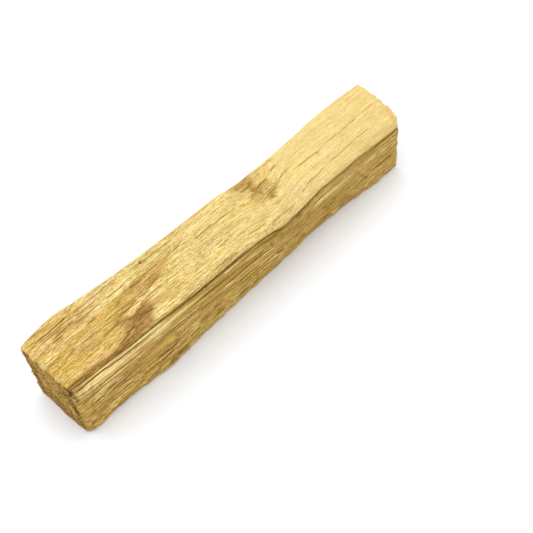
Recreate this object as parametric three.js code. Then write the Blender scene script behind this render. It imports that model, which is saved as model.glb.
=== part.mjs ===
import * as THREE from "three";

// A palo santo stick: one split and sawn length of wood, lying on its flat underside.
// X runs along the grain, from the worn near end to the ragged far end. Y is the width,
// with the left side at +Y, and Z is the height above the surface that the stick lies on.
// The stick is laid out with X counted from the near end, and then moved so that the
// origin is under its middle.

// Driving dimensions, in millimetres
const LENGTH = 100.6;
const HEIGHT = 17.3;
const LEFT_SIDE = 7.4;
const RIGHT_SIDE = -7.4;
const MIDDLE = new THREE.Vector3(50.13, 0.52, 0);

// Lines along the stick, as [distance from the near end, value] in millimetres
const TOP_HEIGHT = along([
  [0, HEIGHT],
  [12, HEIGHT + 0.15],
  [34, HEIGHT - 0.1],
  [54, HEIGHT + 0.2],
  [63, HEIGHT - 0.25],
  [72, HEIGHT],
  [LENGTH, HEIGHT + 0.2],
]);
const LEFT_EDGE = along([
  [0, LEFT_SIDE + 0.4],
  [3, LEFT_SIDE + 1.55],
  [10, LEFT_SIDE + 2.1],
  [16, LEFT_SIDE + 1.45],
  [23, LEFT_SIDE + 0.9],
  [32, LEFT_SIDE + 0.4],
  [45, LEFT_SIDE + 0.1],
  [54, LEFT_SIDE - 0.3],
  [57, LEFT_SIDE - 0.7],
  [60, LEFT_SIDE - 0.55],
  [64, LEFT_SIDE - 0.35],
  [69, LEFT_SIDE - 0.6],
  [78, LEFT_SIDE - 0.4],
  [88, LEFT_SIDE + 0.05],
  [LENGTH, LEFT_SIDE - 0.4],
]);
const LEFT_FOOT = along([
  [0, LEFT_SIDE + 0.1],
  [9, LEFT_SIDE + 0.9],
  [26, LEFT_SIDE + 0.3],
  [48, LEFT_SIDE - 0.1],
  [61, LEFT_SIDE - 0.7],
  [78, LEFT_SIDE - 0.4],
  [LENGTH, LEFT_SIDE - 0.3],
]);
const RIGHT_FOOT = along([
  [0, RIGHT_SIDE - 0.4],
  [5, RIGHT_SIDE - 0.55],
  [10, RIGHT_SIDE - 0.3],
  [16, RIGHT_SIDE - 0.5],
  [25, RIGHT_SIDE - 1.05],
  [32, RIGHT_SIDE - 0.5],
  [42, RIGHT_SIDE + 0.1],
  [52, RIGHT_SIDE + 0.55],
  [60, RIGHT_SIDE + 0.8],
  [66, RIGHT_SIDE + 1.1],
  [71, RIGHT_SIDE + 1.55],
  [76, RIGHT_SIDE + 1.4],
  [83, RIGHT_SIDE + 1.25],
  [92, RIGHT_SIDE + 0.45],
  [LENGTH, RIGHT_SIDE + 0.55],
]);

// The seam is the long open crack between the top face and the right face
const SEAM_SIDE = along([
  [0, RIGHT_SIDE + 0.25],
  [16, RIGHT_SIDE - 0.1],
  [47, RIGHT_SIDE - 0.3],
  [57, RIGHT_SIDE - 0.5],
  [61, RIGHT_SIDE - 0.75],
  [65, RIGHT_SIDE - 0.6],
  [69, RIGHT_SIDE - 0.2],
  [73, RIGHT_SIDE],
  [LENGTH, RIGHT_SIDE],
]);
const SEAM_HEIGHT = along([
  [0, HEIGHT - 0.4],
  [10, HEIGHT - 0.6],
  [20, HEIGHT - 1.2],
  [28, HEIGHT - 1.5],
  [36, HEIGHT - 1.6],
  [45, HEIGHT - 1.5],
  [51, HEIGHT - 1.9],
  [56, HEIGHT - 2.1],
  [58, HEIGHT - 2.5],
  [60, HEIGHT - 2.85],
  [62, HEIGHT - 2.9],
  [67, HEIGHT - 2.9],
  [70, HEIGHT - 2.7],
  [73, HEIGHT - 2.5],
  [85, HEIGHT - 2.25],
  [91, HEIGHT - 2.8],
  [LENGTH, HEIGHT - 3.1],
]);
const SEAM_DEPTH = along([
  [0, 0.45],
  [22, 0.4],
  [50, 0.6],
  [62, 0.75],
  [78, 0.55],
  [LENGTH, 0.7],
]);
const SHOULDER_WIDTH = along([
  [0, 1.2],
  [30, 1],
  [50, 1.5],
  [61, 2.4],
  [72, 1.9],
  [86, 2],
  [LENGTH, 2.4],
]);
const SHOULDER_LEAN = along([
  [0, 0.1],
  [48, 0.1],
  [62, 0.4],
  [74, 0.65],
  [LENGTH, 0.65],
]);

// A second crack leaves a narrow rib below the seam at the near end, and runs out
const RIB_WIDTH = along([
  [0, 1.3],
  [3, 1],
  [6, 0.85],
  [9, 1.05],
  [12, 1.3],
  [18, 1.05],
  [26, 1.2],
  [LENGTH, 1.6],
]);
const RIB_CRACK_DEPTH = along([
  [0, 0.45],
  [14, 0.35],
  [24, 0],
  [LENGTH, 0],
]);
const RIGHT_BULGE = along([
  [0, 1.1],
  [12, 0.5],
  [40, 0.4],
  [LENGTH, 0],
]);

// Cracks and corners of the section
const SEAM_GAP = 0.7;
const RIB_CRACK_GAP = 0.35;
const FACE_STEP = 0.15;
const CROWN = 0.9;
const LEFT_BULGE = 0.3;
const TOP_LEFT_ROUND = 1.1;
const FOOT_ROUND = 0.9;

// Columns of the grid along each stretch of the section, in the order of sectionPath
const COLUMNS = [6, 3, 10, 1, 1, 2, 1, 1, 5, 14, 4, 18, 3];

// Ends
const NEAR_LEAN = 1.7;
const NEAR_BELLY = { y: -3, width: 3, depth: 0.3 };
const NEAR_OVERHANG = 0.2;
const NEAR_WEAR = 0.7;
const FAR_WEAR = 0.3;
const FAR_SKEW = 0.06;
const FAR_LEAN = 0.0024;
const FAR_CORNER = { start: 5.2, end: 7, depth: 0.35 };
const SCALLOP = { depth: 0.32, width: 2.5 };
const END_REACH = 14;
const END_STATIONS = [0, 0.25, 0.7, 1.4, 2.5];
const MIDDLE_STATIONS = 46;
const CAP_RINGS = [0.3, 0.6, 0.85];

// The knot on the left of the top face: a hollow behind a low hump
const KNOT = { x: 62.4, y: 3.2, length: 3, width: 2.2, depth: 0.65 };
const HUMP = { x: 55.2, y: 4, length: 2.8, width: 3, height: 0.35 };
const WORM_HOLE = { x: 31.3, y: 6.2, radius: 0.9, depth: 0.5 };

// Split ledges on the left side: a sheet of fibres has come away below each line
const LEDGES = [
  { start: 10, end: 86, height: 11.6, fall: 0.07, depth: 0.7 },
  { start: 30, end: LENGTH, height: 7.2, fall: 0.05, depth: 0.55 },
];
const LEDGE_RISE = 0.45;

// Small chips along the foot of the right face, and the one broken out of the near corner
const FOOT_CHIP = 0.12;
const CORNER_CHIP = { x: 0.4, y: -7.6, z: 15.4, radius: 0.8, depth: 0.6 };

// Low flutes along the grain: distance between them, height, and drift along the stick
const FLUTES = [
  { pitch: 4.3, height: 0.11, drift: 0.021, start: 0.7 },
  { pitch: 2.6, height: 0.08, drift: -0.034, start: 2.1 },
];
const SAWN_FLAT = 0.7;

// Smooth line through hand-placed points: cubic stretches whose slope at each point is
// that of the chord between its neighbours
function along(points) {
  const slope = points.map((_, i) => {
    const before = points[Math.max(i - 1, 0)];
    const after = points[Math.min(i + 1, points.length - 1)];
    return (after[1] - before[1]) / (after[0] - before[0]);
  });
  return (x) => {
    const last = points.length - 2;
    const i = THREE.MathUtils.clamp(points.findIndex((p) => p[0] > x) - 1, 0, last);
    const k = x >= points[last + 1][0] ? last : i;
    const span = points[k + 1][0] - points[k][0];
    const t = THREE.MathUtils.clamp((x - points[k][0]) / span, 0, 1);
    const rise = t * t * (3 - 2 * t);
    const value = THREE.MathUtils.lerp(points[k][1], points[k + 1][1], rise);
    const leave = slope[k] * span * t * (1 - t) * (1 - t);
    const arrive = slope[k + 1] * span * t * t * (1 - t);
    return value + leave - arrive;
  };
}

function bell(offset, width) {
  return Math.exp(-0.5 * (offset / width) ** 2);
}

function step(value, low, high) {
  return THREE.MathUtils.smoothstep(value, low, high);
}

// Outline of the section at x, in Y and Z, from the left foot along the underside, up the
// right face, over the seam and the shoulder, across the top and down the left side
function sectionPath(x) {
  const top = TOP_HEIGHT(x);
  const seam = new THREE.Vector2(SEAM_SIDE(x), SEAM_HEIGHT(x));
  const crackHeight = seam.y - RIB_WIDTH(x);
  const crackSide = seam.x - 0.1 * RIB_WIDTH(x);
  const rightFoot = RIGHT_FOOT(x) + FOOT_CHIP * Math.sin(1.3 * x) * Math.sin(0.37 * x + 1);
  const leftFoot = LEFT_FOOT(x);
  const leftEdge = LEFT_EDGE(x);
  const shoulder = seam.x + SHOULDER_WIDTH(x);
  const crown = (leftEdge + shoulder) / 2;
  const faceHeight = (crackHeight + FOOT_ROUND) / 2;
  const faceSide = (crackSide + rightFoot) / 2 - RIGHT_BULGE(x);
  const leftMiddle = (leftEdge + leftFoot) / 2 + LEFT_BULGE;

  const path = new THREE.Path();
  path.moveTo(leftFoot - FOOT_ROUND, 0);
  path.lineTo(rightFoot + FOOT_ROUND, 0);
  path.quadraticCurveTo(rightFoot, 0, rightFoot, FOOT_ROUND);
  path.quadraticCurveTo(faceSide, faceHeight, crackSide, crackHeight - RIB_CRACK_GAP / 2);
  path.lineTo(crackSide + RIB_CRACK_DEPTH(x), crackHeight);
  path.lineTo(crackSide, crackHeight + RIB_CRACK_GAP / 2);
  path.lineTo(seam.x + FACE_STEP, seam.y - SEAM_GAP / 2);
  path.lineTo(seam.x + SEAM_DEPTH(x), seam.y - 0.35 * SEAM_DEPTH(x));
  path.lineTo(seam.x, seam.y + SEAM_GAP / 2);
  path.quadraticCurveTo(seam.x + SHOULDER_LEAN(x), top, shoulder, top);
  path.quadraticCurveTo(crown, top + CROWN, leftEdge - TOP_LEFT_ROUND, top);
  path.quadraticCurveTo(leftEdge, top, leftEdge, top - TOP_LEFT_ROUND);
  path.quadraticCurveTo(leftMiddle, top / 2, leftFoot, FOOT_ROUND);
  path.quadraticCurveTo(leftFoot, 0, leftFoot - FOOT_ROUND, 0);
  return path;
}

function sectionPoints(x) {
  return sectionPath(x).curves.flatMap((curve, i) =>
    Array.from({ length: COLUMNS[i] }, (_, k) => curve.getPoint(k / COLUMNS[i])),
  );
}

// How far the surface stands out of the plain section, at a point of the section
function relief(x, y, z) {
  const onTop = step(z, HEIGHT - 3, HEIGHT - 1);
  const onLeft = step(y, LEFT_SIDE - 2.6, LEFT_SIDE - 1.4) * (1 - onTop);
  const offFloor = step(z, FOOT_ROUND, 3);
  const knot = -KNOT.depth * bell(x - KNOT.x, KNOT.length) * bell(y - KNOT.y, KNOT.width);
  const hump = HUMP.height * bell(x - HUMP.x, HUMP.length) * bell(y - HUMP.y, HUMP.width);
  const hole = -WORM_HOLE.depth * bell(Math.hypot(x - WORM_HOLE.x, y - WORM_HOLE.y), WORM_HOLE.radius / 2);
  const chipDistance = Math.hypot(x - CORNER_CHIP.x, y - CORNER_CHIP.y, z - CORNER_CHIP.z);
  let height = onTop * (knot + hump + hole);
  height -= CORNER_CHIP.depth * bell(chipDistance, CORNER_CHIP.radius);
  for (const ledge of LEDGES) {
    const line = ledge.height - ledge.fall * (x - ledge.start);
    const below = 1 - step(z, line - LEDGE_RISE, line + LEDGE_RISE);
    const within = step(x, ledge.start, ledge.start + 5) * (1 - step(x, ledge.end - 4, ledge.end));
    height -= onLeft * ledge.depth * below * within * offFloor;
  }
  for (const flute of FLUTES) {
    const across = (y + z) / flute.pitch + flute.drift * x + flute.start;
    const split = offFloor * (1 - SAWN_FLAT * onTop);
    height += split * flute.height * Math.sin(2 * Math.PI * across);
  }
  return height;
}

// How far an end's rounded rim is drawn in, at a distance from the end
function wear(distance, radius) {
  const inside = Math.max(radius - distance, 0);
  return radius - Math.sqrt(radius * radius - inside * inside);
}

// How far each end departs from a square cut
function nearEnd(y, z) {
  const down = 1 - Math.max(z / HEIGHT, 0) ** 1.3;
  const belly = NEAR_BELLY.depth * down * bell(y - NEAR_BELLY.y, NEAR_BELLY.width);
  const broken = 0.12 * Math.sin(1.9 * y + 0.8) * Math.sin(1.3 * z + 0.4);
  return NEAR_LEAN * down - belly + broken - NEAR_OVERHANG;
}

function farEnd(y, z) {
  const fromLeft = LEFT_SIDE - 0.7 - y;
  const tooth = Math.abs(Math.sin((Math.PI * y) / SCALLOP.width + 0.6 * Math.sin(0.9 * y)));
  const corner = FAR_CORNER.depth * step(-y, FAR_CORNER.start, FAR_CORNER.end);
  return SCALLOP.depth * (tooth - 1) - fromLeft * (FAR_SKEW + FAR_LEAN * z) - corner;
}

// One ring of the surface at x, shrunk towards the middle of its section
function ringAt(x, shrink) {
  const outline = sectionPoints(x);
  const drawnIn = wear(x, NEAR_WEAR) + wear(LENGTH - x, FAR_WEAR);
  const near = 1 - step(x, 0, END_REACH);
  const far = step(x, LENGTH - END_REACH, LENGTH);
  const centre = new THREE.Vector2((LEFT_EDGE(x) + RIGHT_FOOT(x)) / 2, HEIGHT / 2);
  return outline.map((point, k) => {
    const before = outline[(k + outline.length - 1) % outline.length];
    const after = outline[(k + 1) % outline.length];
    const normal = new THREE.Vector2(before.y - after.y, after.x - before.x).normalize();
    const height = relief(x, point.x, point.y) - drawnIn;
    const place = point.clone().addScaledVector(normal, height);
    place.lerp(centre, 1 - shrink);
    const shift = near * nearEnd(place.x, place.y) + far * farEnd(place.x, place.y);
    return new THREE.Vector3(x + shift, place.x, place.y).sub(MIDDLE);
  });
}

function stations() {
  const first = END_STATIONS.at(-1);
  const span = (LENGTH - 2 * first) / MIDDLE_STATIONS;
  const inner = Array.from({ length: MIDDLE_STATIONS - 1 }, (_, k) => first + span * (k + 1));
  const farSide = END_STATIONS.map((x) => LENGTH - x).reverse();
  return [...END_STATIONS, ...inner, ...farSide];
}

// The whole stick as one closed surface: rings along the length, and smaller rings that
// close each end round a middle point
function stickGeometry() {
  const nearCap = CAP_RINGS.map((shrink) => ringAt(0, shrink));
  const body = stations().map((x) => ringAt(x, 1));
  const farCap = CAP_RINGS.map((shrink) => ringAt(LENGTH, shrink)).reverse();
  const rings = [...nearCap, ...body, ...farCap];
  const columns = rings[0].length;
  const nearPoint = ringAt(0, 0)[0];
  const farPoint = ringAt(LENGTH, 0)[0];
  const vertices = [...rings.flat(), nearPoint, farPoint];

  const triangles = [];
  for (let row = 0; row + 1 < rings.length; row += 1) {
    for (let k = 0; k < columns; k += 1) {
      const next = (k + 1) % columns;
      const a = row * columns + k;
      const b = row * columns + next;
      triangles.push(a, a + columns, b, b, a + columns, b + columns);
    }
  }
  const lastRow = (rings.length - 1) * columns;
  for (let k = 0; k < columns; k += 1) {
    const next = (k + 1) % columns;
    triangles.push(vertices.length - 2, k, next);
    triangles.push(vertices.length - 1, lastRow + next, lastRow + k);
  }

  const geometry = new THREE.BufferGeometry().setFromPoints(vertices);
  geometry.setIndex(triangles);
  geometry.computeVertexNormals();
  return geometry;
}

const wood = new THREE.MeshStandardMaterial({ color: 0xd9b56c, roughness: 0.72, metalness: 0 });

const stick = new THREE.Mesh(stickGeometry(), wood);
stick.name = "palo_santo_stick";

const model = new THREE.Group();
model.add(stick);

export default model;
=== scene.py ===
"""A palo santo stick: the finished surface of one split and sawn length of wood.

The fine surface replaces the plain solid of the frame and keeps its outline. Sizes are in
millimetres, laid out as in the solid: X along the grain from the worn near end, Y towards
the left side and Z above the floor. They are moved to the frame's origin and turned into
metres when a mesh is made.
"""

import logging
from collections.abc import Callable
from dataclasses import dataclass, field
from enum import Enum

import bpy
import numpy as np
from mathutils import Matrix, Vector


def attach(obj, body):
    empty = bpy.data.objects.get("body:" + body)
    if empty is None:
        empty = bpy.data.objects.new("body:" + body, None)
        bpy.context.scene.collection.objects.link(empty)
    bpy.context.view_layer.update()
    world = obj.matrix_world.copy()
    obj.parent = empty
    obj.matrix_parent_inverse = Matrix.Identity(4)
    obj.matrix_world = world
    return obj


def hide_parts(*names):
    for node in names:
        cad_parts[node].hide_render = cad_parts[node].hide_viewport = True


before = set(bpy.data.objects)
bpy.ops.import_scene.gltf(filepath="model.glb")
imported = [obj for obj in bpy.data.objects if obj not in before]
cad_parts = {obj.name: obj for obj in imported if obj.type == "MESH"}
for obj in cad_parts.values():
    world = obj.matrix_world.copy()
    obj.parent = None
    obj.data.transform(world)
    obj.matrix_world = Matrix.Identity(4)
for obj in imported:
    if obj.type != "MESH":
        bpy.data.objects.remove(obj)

LOG = logging.getLogger("palo_santo")
METRES = 0.001
NODE = "palo_santo_stick"
BODY = "root"
MIDDLE = np.array([50.13, 0.52, 0.0])
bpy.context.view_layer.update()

LENGTH = 100.6
HEIGHT = 17.3
LEFT_SIDE = 7.4
RIGHT_SIDE = -7.4
KNOT_CENTRE = (62.4, 3.2)
SWIRLS = ((63.9, 0.5, 1.5), (64.3, -1.9, 1.0))

LATTICE_FACTORS = (374761393, 668265263, 1440662683, 974634777)
LATTICE_MIXER = 1274126177

Array = np.ndarray
Pair = tuple[float, float]
Triple = tuple[float, float, float]
Points = tuple[Pair, ...]
Tones = dict[str, Array]


class Face(Enum):
    """A side of the stick with markings."""

    TOP = "top"
    RIGHT = "right"
    LEFT = "left"
    NEAR_END = "near end"


class Tone(Enum):
    """What a marking does to the wood: the name of the attribute that carries it."""

    STAIN = "stain"
    GOLD = "gold"
    PINK = "pink"
    LIGHT = "light"
    CRACK = "crack"


def bell(offset: Array, width: float) -> Array:
    """Return a bell curve: e to the power of minus half the squared offset in widths."""
    return np.exp(-0.5 * (offset / width) ** 2)


def ease(t: Array) -> Array:
    """Return the cubic 3t^2 - 2t^3, which rises from 0 to 1 and is level at both."""
    return t * t * (3.0 - 2.0 * t)


def step(value: Array, low: float, high: float) -> Array:
    """Return 0 below low and 1 above high, with an eased rise between them."""
    return ease(np.clip((value - low) / (high - low), 0.0, 1.0))


def lattice(i: Array, j: Array, k: Array, seed: int) -> Array:
    """Give each point of a whole-number lattice its own fixed value.

    Args:
        i, j, k: Whole-number coordinates.
        seed: Picks one of many lattices.

    Returns:
        Values from 0 to 1, mixed from the coordinates by multiplying and shifting bits.
    """
    mask = np.uint64(0xFFFFFFFF)
    mixed = sum(value * factor for value, factor in zip((i, j, k, seed), LATTICE_FACTORS))
    bits = mixed.astype(np.int64).astype(np.uint64) & mask
    bits = ((bits ^ (bits >> np.uint64(13))) * np.uint64(LATTICE_MIXER)) & mask
    bits = bits ^ (bits >> np.uint64(16))
    return bits.astype(np.float64) / float(mask)


def noise(x: Array, y: Array, z: Array, seed: int) -> Array:
    """Return smooth noise from -1 to 1.

    The eight lattice values round each point are blended with eased weights.

    Args:
        x, y, z: Coordinates in units of the noise's cell.
        seed: Picks the lattice.

    Returns:
        One value for each point.
    """
    x, y, z = np.broadcast_arrays(x, y, z)
    low = [np.floor(axis) for axis in (x, y, z)]
    weight = [ease(axis - floor) for axis, floor in zip((x, y, z), low)]
    cell = [floor.astype(np.int64) for floor in low]
    total = np.zeros(x.shape)
    for corner in range(8):
        bit = [(corner >> axis) & 1 for axis in range(3)]
        share = np.ones(x.shape)
        for axis in range(3):
            share = share * (weight[axis] if bit[axis] else 1.0 - weight[axis])
        total += share * lattice(*(cell[axis] + bit[axis] for axis in range(3)), seed)
    return 2.0 * total - 1.0


@dataclass(frozen=True)
class Line:
    """A smooth line along the stick through given points.

    A point is a distance from the near end and a value above or below the base.
    """

    points: Points
    base: float = 0.0

    def at(self, x: Array) -> Array:
        """Return the line's value at x.

        Each stretch is a cubic whose slope at a point is that of the chord between the
        point's neighbours.

        Args:
            x: Distances from the near end.

        Returns:
            One value for each distance.
        """
        place = np.array([point[0] for point in self.points])
        value = np.array([self.base + point[1] for point in self.points])
        before = np.maximum(np.arange(len(place)) - 1, 0)
        after = np.minimum(np.arange(len(place)) + 1, len(place) - 1)
        slope = (value[after] - value[before]) / (place[after] - place[before])
        k = np.clip(np.searchsorted(place, x, side="right") - 1, 0, len(place) - 2)
        span = place[k + 1] - place[k]
        t = np.clip((x - place[k]) / span, 0.0, 1.0)
        smooth = value[k] * (1.0 - ease(t)) + value[k + 1] * ease(t)
        leave = slope[k] * span * t * (1.0 - t) ** 2
        arrive = slope[k + 1] * span * t * t * (1.0 - t)
        return smooth + leave - arrive


@dataclass(frozen=True)
class Marks:
    """Strokes of one kind on one face.

    A path is a row of places on the face: distance from the near end and Y on the top,
    distance and Z on the right and left sides, and Y and Z on the near end. A stroke is
    soft at its sides and runs out softly, the further the less its lengths count along
    the grain.
    """

    tone: Tone
    width: float
    strength: float
    paths: tuple[Points, ...]
    along: float = 0.4

    def at(self, x: Array, across: Array) -> Array:
        """Return how strongly the strokes cover each point.

        The cover of a stroke is a bell of the distance to its path, with distances along
        the grain counted short. The distance is the least of those to the path's
        straight stretches.

        Args:
            x: The first coordinate on the face.
            across: The second coordinate on the face.

        Returns:
            Cover from 0 to the strength.
        """
        cover = np.zeros(x.shape)
        for path in self.paths:
            least = np.full(x.shape, np.inf)
            for (ax, ay), (bx, by) in zip(path, path[1:]):
                run_x, run_y = (bx - ax) * self.along, by - ay
                off_x, off_y = (x - ax) * self.along, across - ay
                share = (off_x * run_x + off_y * run_y) / (run_x ** 2 + run_y ** 2)
                share = np.clip(share, 0.0, 1.0)
                gap = np.hypot(off_x - share * run_x, off_y - share * run_y)
                least = np.minimum(least, gap)
            cover = np.maximum(cover, bell(least, self.width))
        return self.strength * cover


@dataclass
class Stick:
    """The plain stick: how its section changes along its length, and where its rings lie.

    Columns holds how many each stretch of the section has, and straight the numbers of
    the stretches that are straight lines. A chip wave has its turns and its start.
    """

    top_height: Line = Line((
        (0, 0), (12, 0.15), (34, -0.1), (54, 0.2), (63, -0.25), (72, 0), (LENGTH, 0.2),
    ), HEIGHT)
    left_edge: Line = Line((
        (0, 0.5), (0.8, 1.2), (3, 1.65), (10, 2.1), (16, 1.45), (23, 0.9), (32, 0.4), (45, 0.1),
        (54, -0.3), (57, -0.7), (60, -0.55), (64, -0.35), (69, -0.6), (78, -0.4), (88, 0.05),
        (LENGTH, -0.4),
    ), LEFT_SIDE)
    left_foot: Line = Line((
        (0, 0.1), (9, 0.9), (26, 0.3), (48, -0.1), (61, -0.7), (78, -0.4), (LENGTH, -0.3),
    ), LEFT_SIDE)
    right_foot: Line = Line((
        (0, -0.5), (1.5, -0.85), (3, -0.75), (6, -0.5), (10, -0.3), (16, -0.5), (25, -1.05),
        (32, -0.5), (42, 0.1), (52, 0.55), (60, 0.8), (66, 1.1), (71, 1.55), (76, 1.4),
        (83, 1.25), (92, 0.45), (LENGTH, 0.55),
    ), RIGHT_SIDE)
    seam_side: Line = Line((
        (0, 0.25), (16, -0.1), (47, -0.3), (57, -0.5), (61, -0.75), (65, -0.6), (69, -0.2),
        (73, 0), (LENGTH, 0),
    ), RIGHT_SIDE)
    seam_height: Line = Line((
        (0, -0.4), (8, -0.42), (11, -0.4), (14, -0.68), (18, -0.82), (22, -0.9), (28, -1.2),
        (35, -1.6), (45, -1.5), (50, -1.55), (55, -1.86), (57, -2.3), (59, -2.8), (62, -2.85),
        (65, -2.65), (68, -2.7), (71, -2.4), (74, -2.2), (85, -2.05), (89, -2.25), (94, -2.75),
        (LENGTH, -2.85),
    ), HEIGHT)
    seam_depth: Line = Line((
        (0, 0.45), (22, 0.4), (50, 0.5), (62, 0.5), (78, 0.5), (LENGTH, 0.6),
    ))
    seam_droop: float = 0.35
    shoulder_width: Line = Line((
        (0, 1.2), (30, 1), (50, 1.5), (61, 2.4), (72, 1.9), (86, 2), (LENGTH, 2.4),
    ))
    shoulder_lean: Line = Line(((0, 0.1), (48, 0.1), (62, 0.4), (74, 0.65), (LENGTH, 0.65)))
    rib_width: Line = Line((
        (0, 1.5), (2, 1.45), (5, 1), (7, 1), (10, 1.45), (13, 1.52), (17, 1.44), (20, 1.54),
        (26, 1.4), (LENGTH, 1.6),
    ))
    rib_slope: float = 0.1
    rib_crack_depth: Line = Line(((0, 0.45), (14, 0.35), (20, 0.2), (25, 0), (LENGTH, 0)))
    right_bulge: Line = Line(((0, 1.1), (12, 0.5), (40, 0.4), (LENGTH, 0)))
    seam_gap: float = 0.42
    rib_crack_gap: float = 0.3
    face_step: float = 0.15
    chip_size: float = 0.12
    chip_waves: tuple[Pair, Pair] = ((1.3, 0.0), (0.37, 1.0))
    crown: float = 0.9
    left_bulge: float = 0.3
    top_left_round: float = 1.1
    foot_round: float = 0.9
    columns: tuple[int, ...] = (12, 4, 82, 2, 2, 8, 4, 4, 28, 122, 12, 44, 6)
    straight: tuple[int, ...] = (0, 3, 4, 5, 6, 7)
    station_count: int = 262
    fine_count: int = 4001
    crowding: tuple[Triple, ...] = (
        (0.0, 1.3, 3.5),
        (LENGTH, 1.0, 3.5),
        (KNOT_CENTRE[0], 5.0, 0.9),
    )
    cap_rings: int = 18

    def section(self, x: Array) -> Array:
        """Return the plain section at each station.

        The outline runs from the left foot along the underside, up the right face, over
        the rib crack and the seam, round the shoulder, across the crowned top and down
        the left side. Each stretch is a straight line, or a parabola bent by a corner.

        Args:
            x: Distances from the near end, one for each ring.

        Returns:
            Array of rings by columns by (Y, Z).
        """
        top = self.top_height.at(x)
        seam_y = self.seam_side.at(x)
        seam_z = self.seam_height.at(x)
        depth = self.seam_depth.at(x)
        rib = self.rib_width.at(x)
        crack_z = seam_z - rib
        crack_y = seam_y - self.rib_slope * rib
        waves = [np.sin(turns * x + start) for turns, start in self.chip_waves]
        right = self.right_foot.at(x) + self.chip_size * waves[0] * waves[1]
        left = self.left_foot.at(x)
        edge = self.left_edge.at(x)
        shoulder = seam_y + self.shoulder_width.at(x)
        crown_y = (edge + shoulder) / 2
        face_y = (crack_y + right) / 2 - self.right_bulge.at(x)
        face_z = (crack_z + self.foot_round) / 2
        left_y = (edge + left) / 2 + self.left_bulge
        zero = np.zeros_like(x)
        foot = zero + self.foot_round
        half_crack = self.rib_crack_gap / 2
        half_seam = self.seam_gap / 2
        knots = [
            (left - self.foot_round, zero),
            (right + self.foot_round, zero), (right, zero),
            (right, foot), (face_y, face_z),
            (crack_y, crack_z - half_crack),
            (crack_y + self.rib_crack_depth.at(x), crack_z),
            (crack_y, crack_z + half_crack),
            (seam_y + self.face_step, seam_z - half_seam),
            (seam_y + depth, seam_z - self.seam_droop * depth),
            (seam_y, seam_z + half_seam), (seam_y + self.shoulder_lean.at(x), top),
            (shoulder, top), (crown_y, top + self.crown),
            (edge - self.top_left_round, top), (edge, top),
            (edge, top - self.top_left_round), (left_y, top / 2),
            (left, foot), (left, zero),
            (left - self.foot_round, zero),
        ]
        knots = [np.stack(knot, -1)[:, None, :] for knot in knots]
        pieces = []
        k = 0
        for stretch, count in enumerate(self.columns):
            t = (np.arange(count) / count)[None, :, None]
            if stretch in self.straight:
                pieces.append(knots[k] * (1 - t) + knots[k + 1] * t)
                k += 1
            else:
                start, corner, end = knots[k:k + 3]
                curve = start * (1 - t) ** 2 + 2 * corner * t * (1 - t) + end * t * t
                pieces.append(curve)
                k += 2
        return np.concatenate(pieces, 1)

    def stations(self) -> Array:
        """Return the rings' distances from the near end.

        They are closer at both ends and at the knot: their density is 1 and a sum of
        bells, each with a place, a width and a height, and its running total is read
        backwards at even steps.

        Returns:
            Rising distances from 0 to the stick's length.
        """
        fine = np.linspace(0.0, LENGTH, self.fine_count)
        dense = np.ones_like(fine)
        for place, width, height in self.crowding:
            dense += height * bell(fine - place, width)
        total = np.concatenate(([0.0], np.cumsum((dense[1:] + dense[:-1]) / 2)))
        even = np.linspace(0.0, total[-1], self.station_count)
        return np.interp(even, total, fine)


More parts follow.
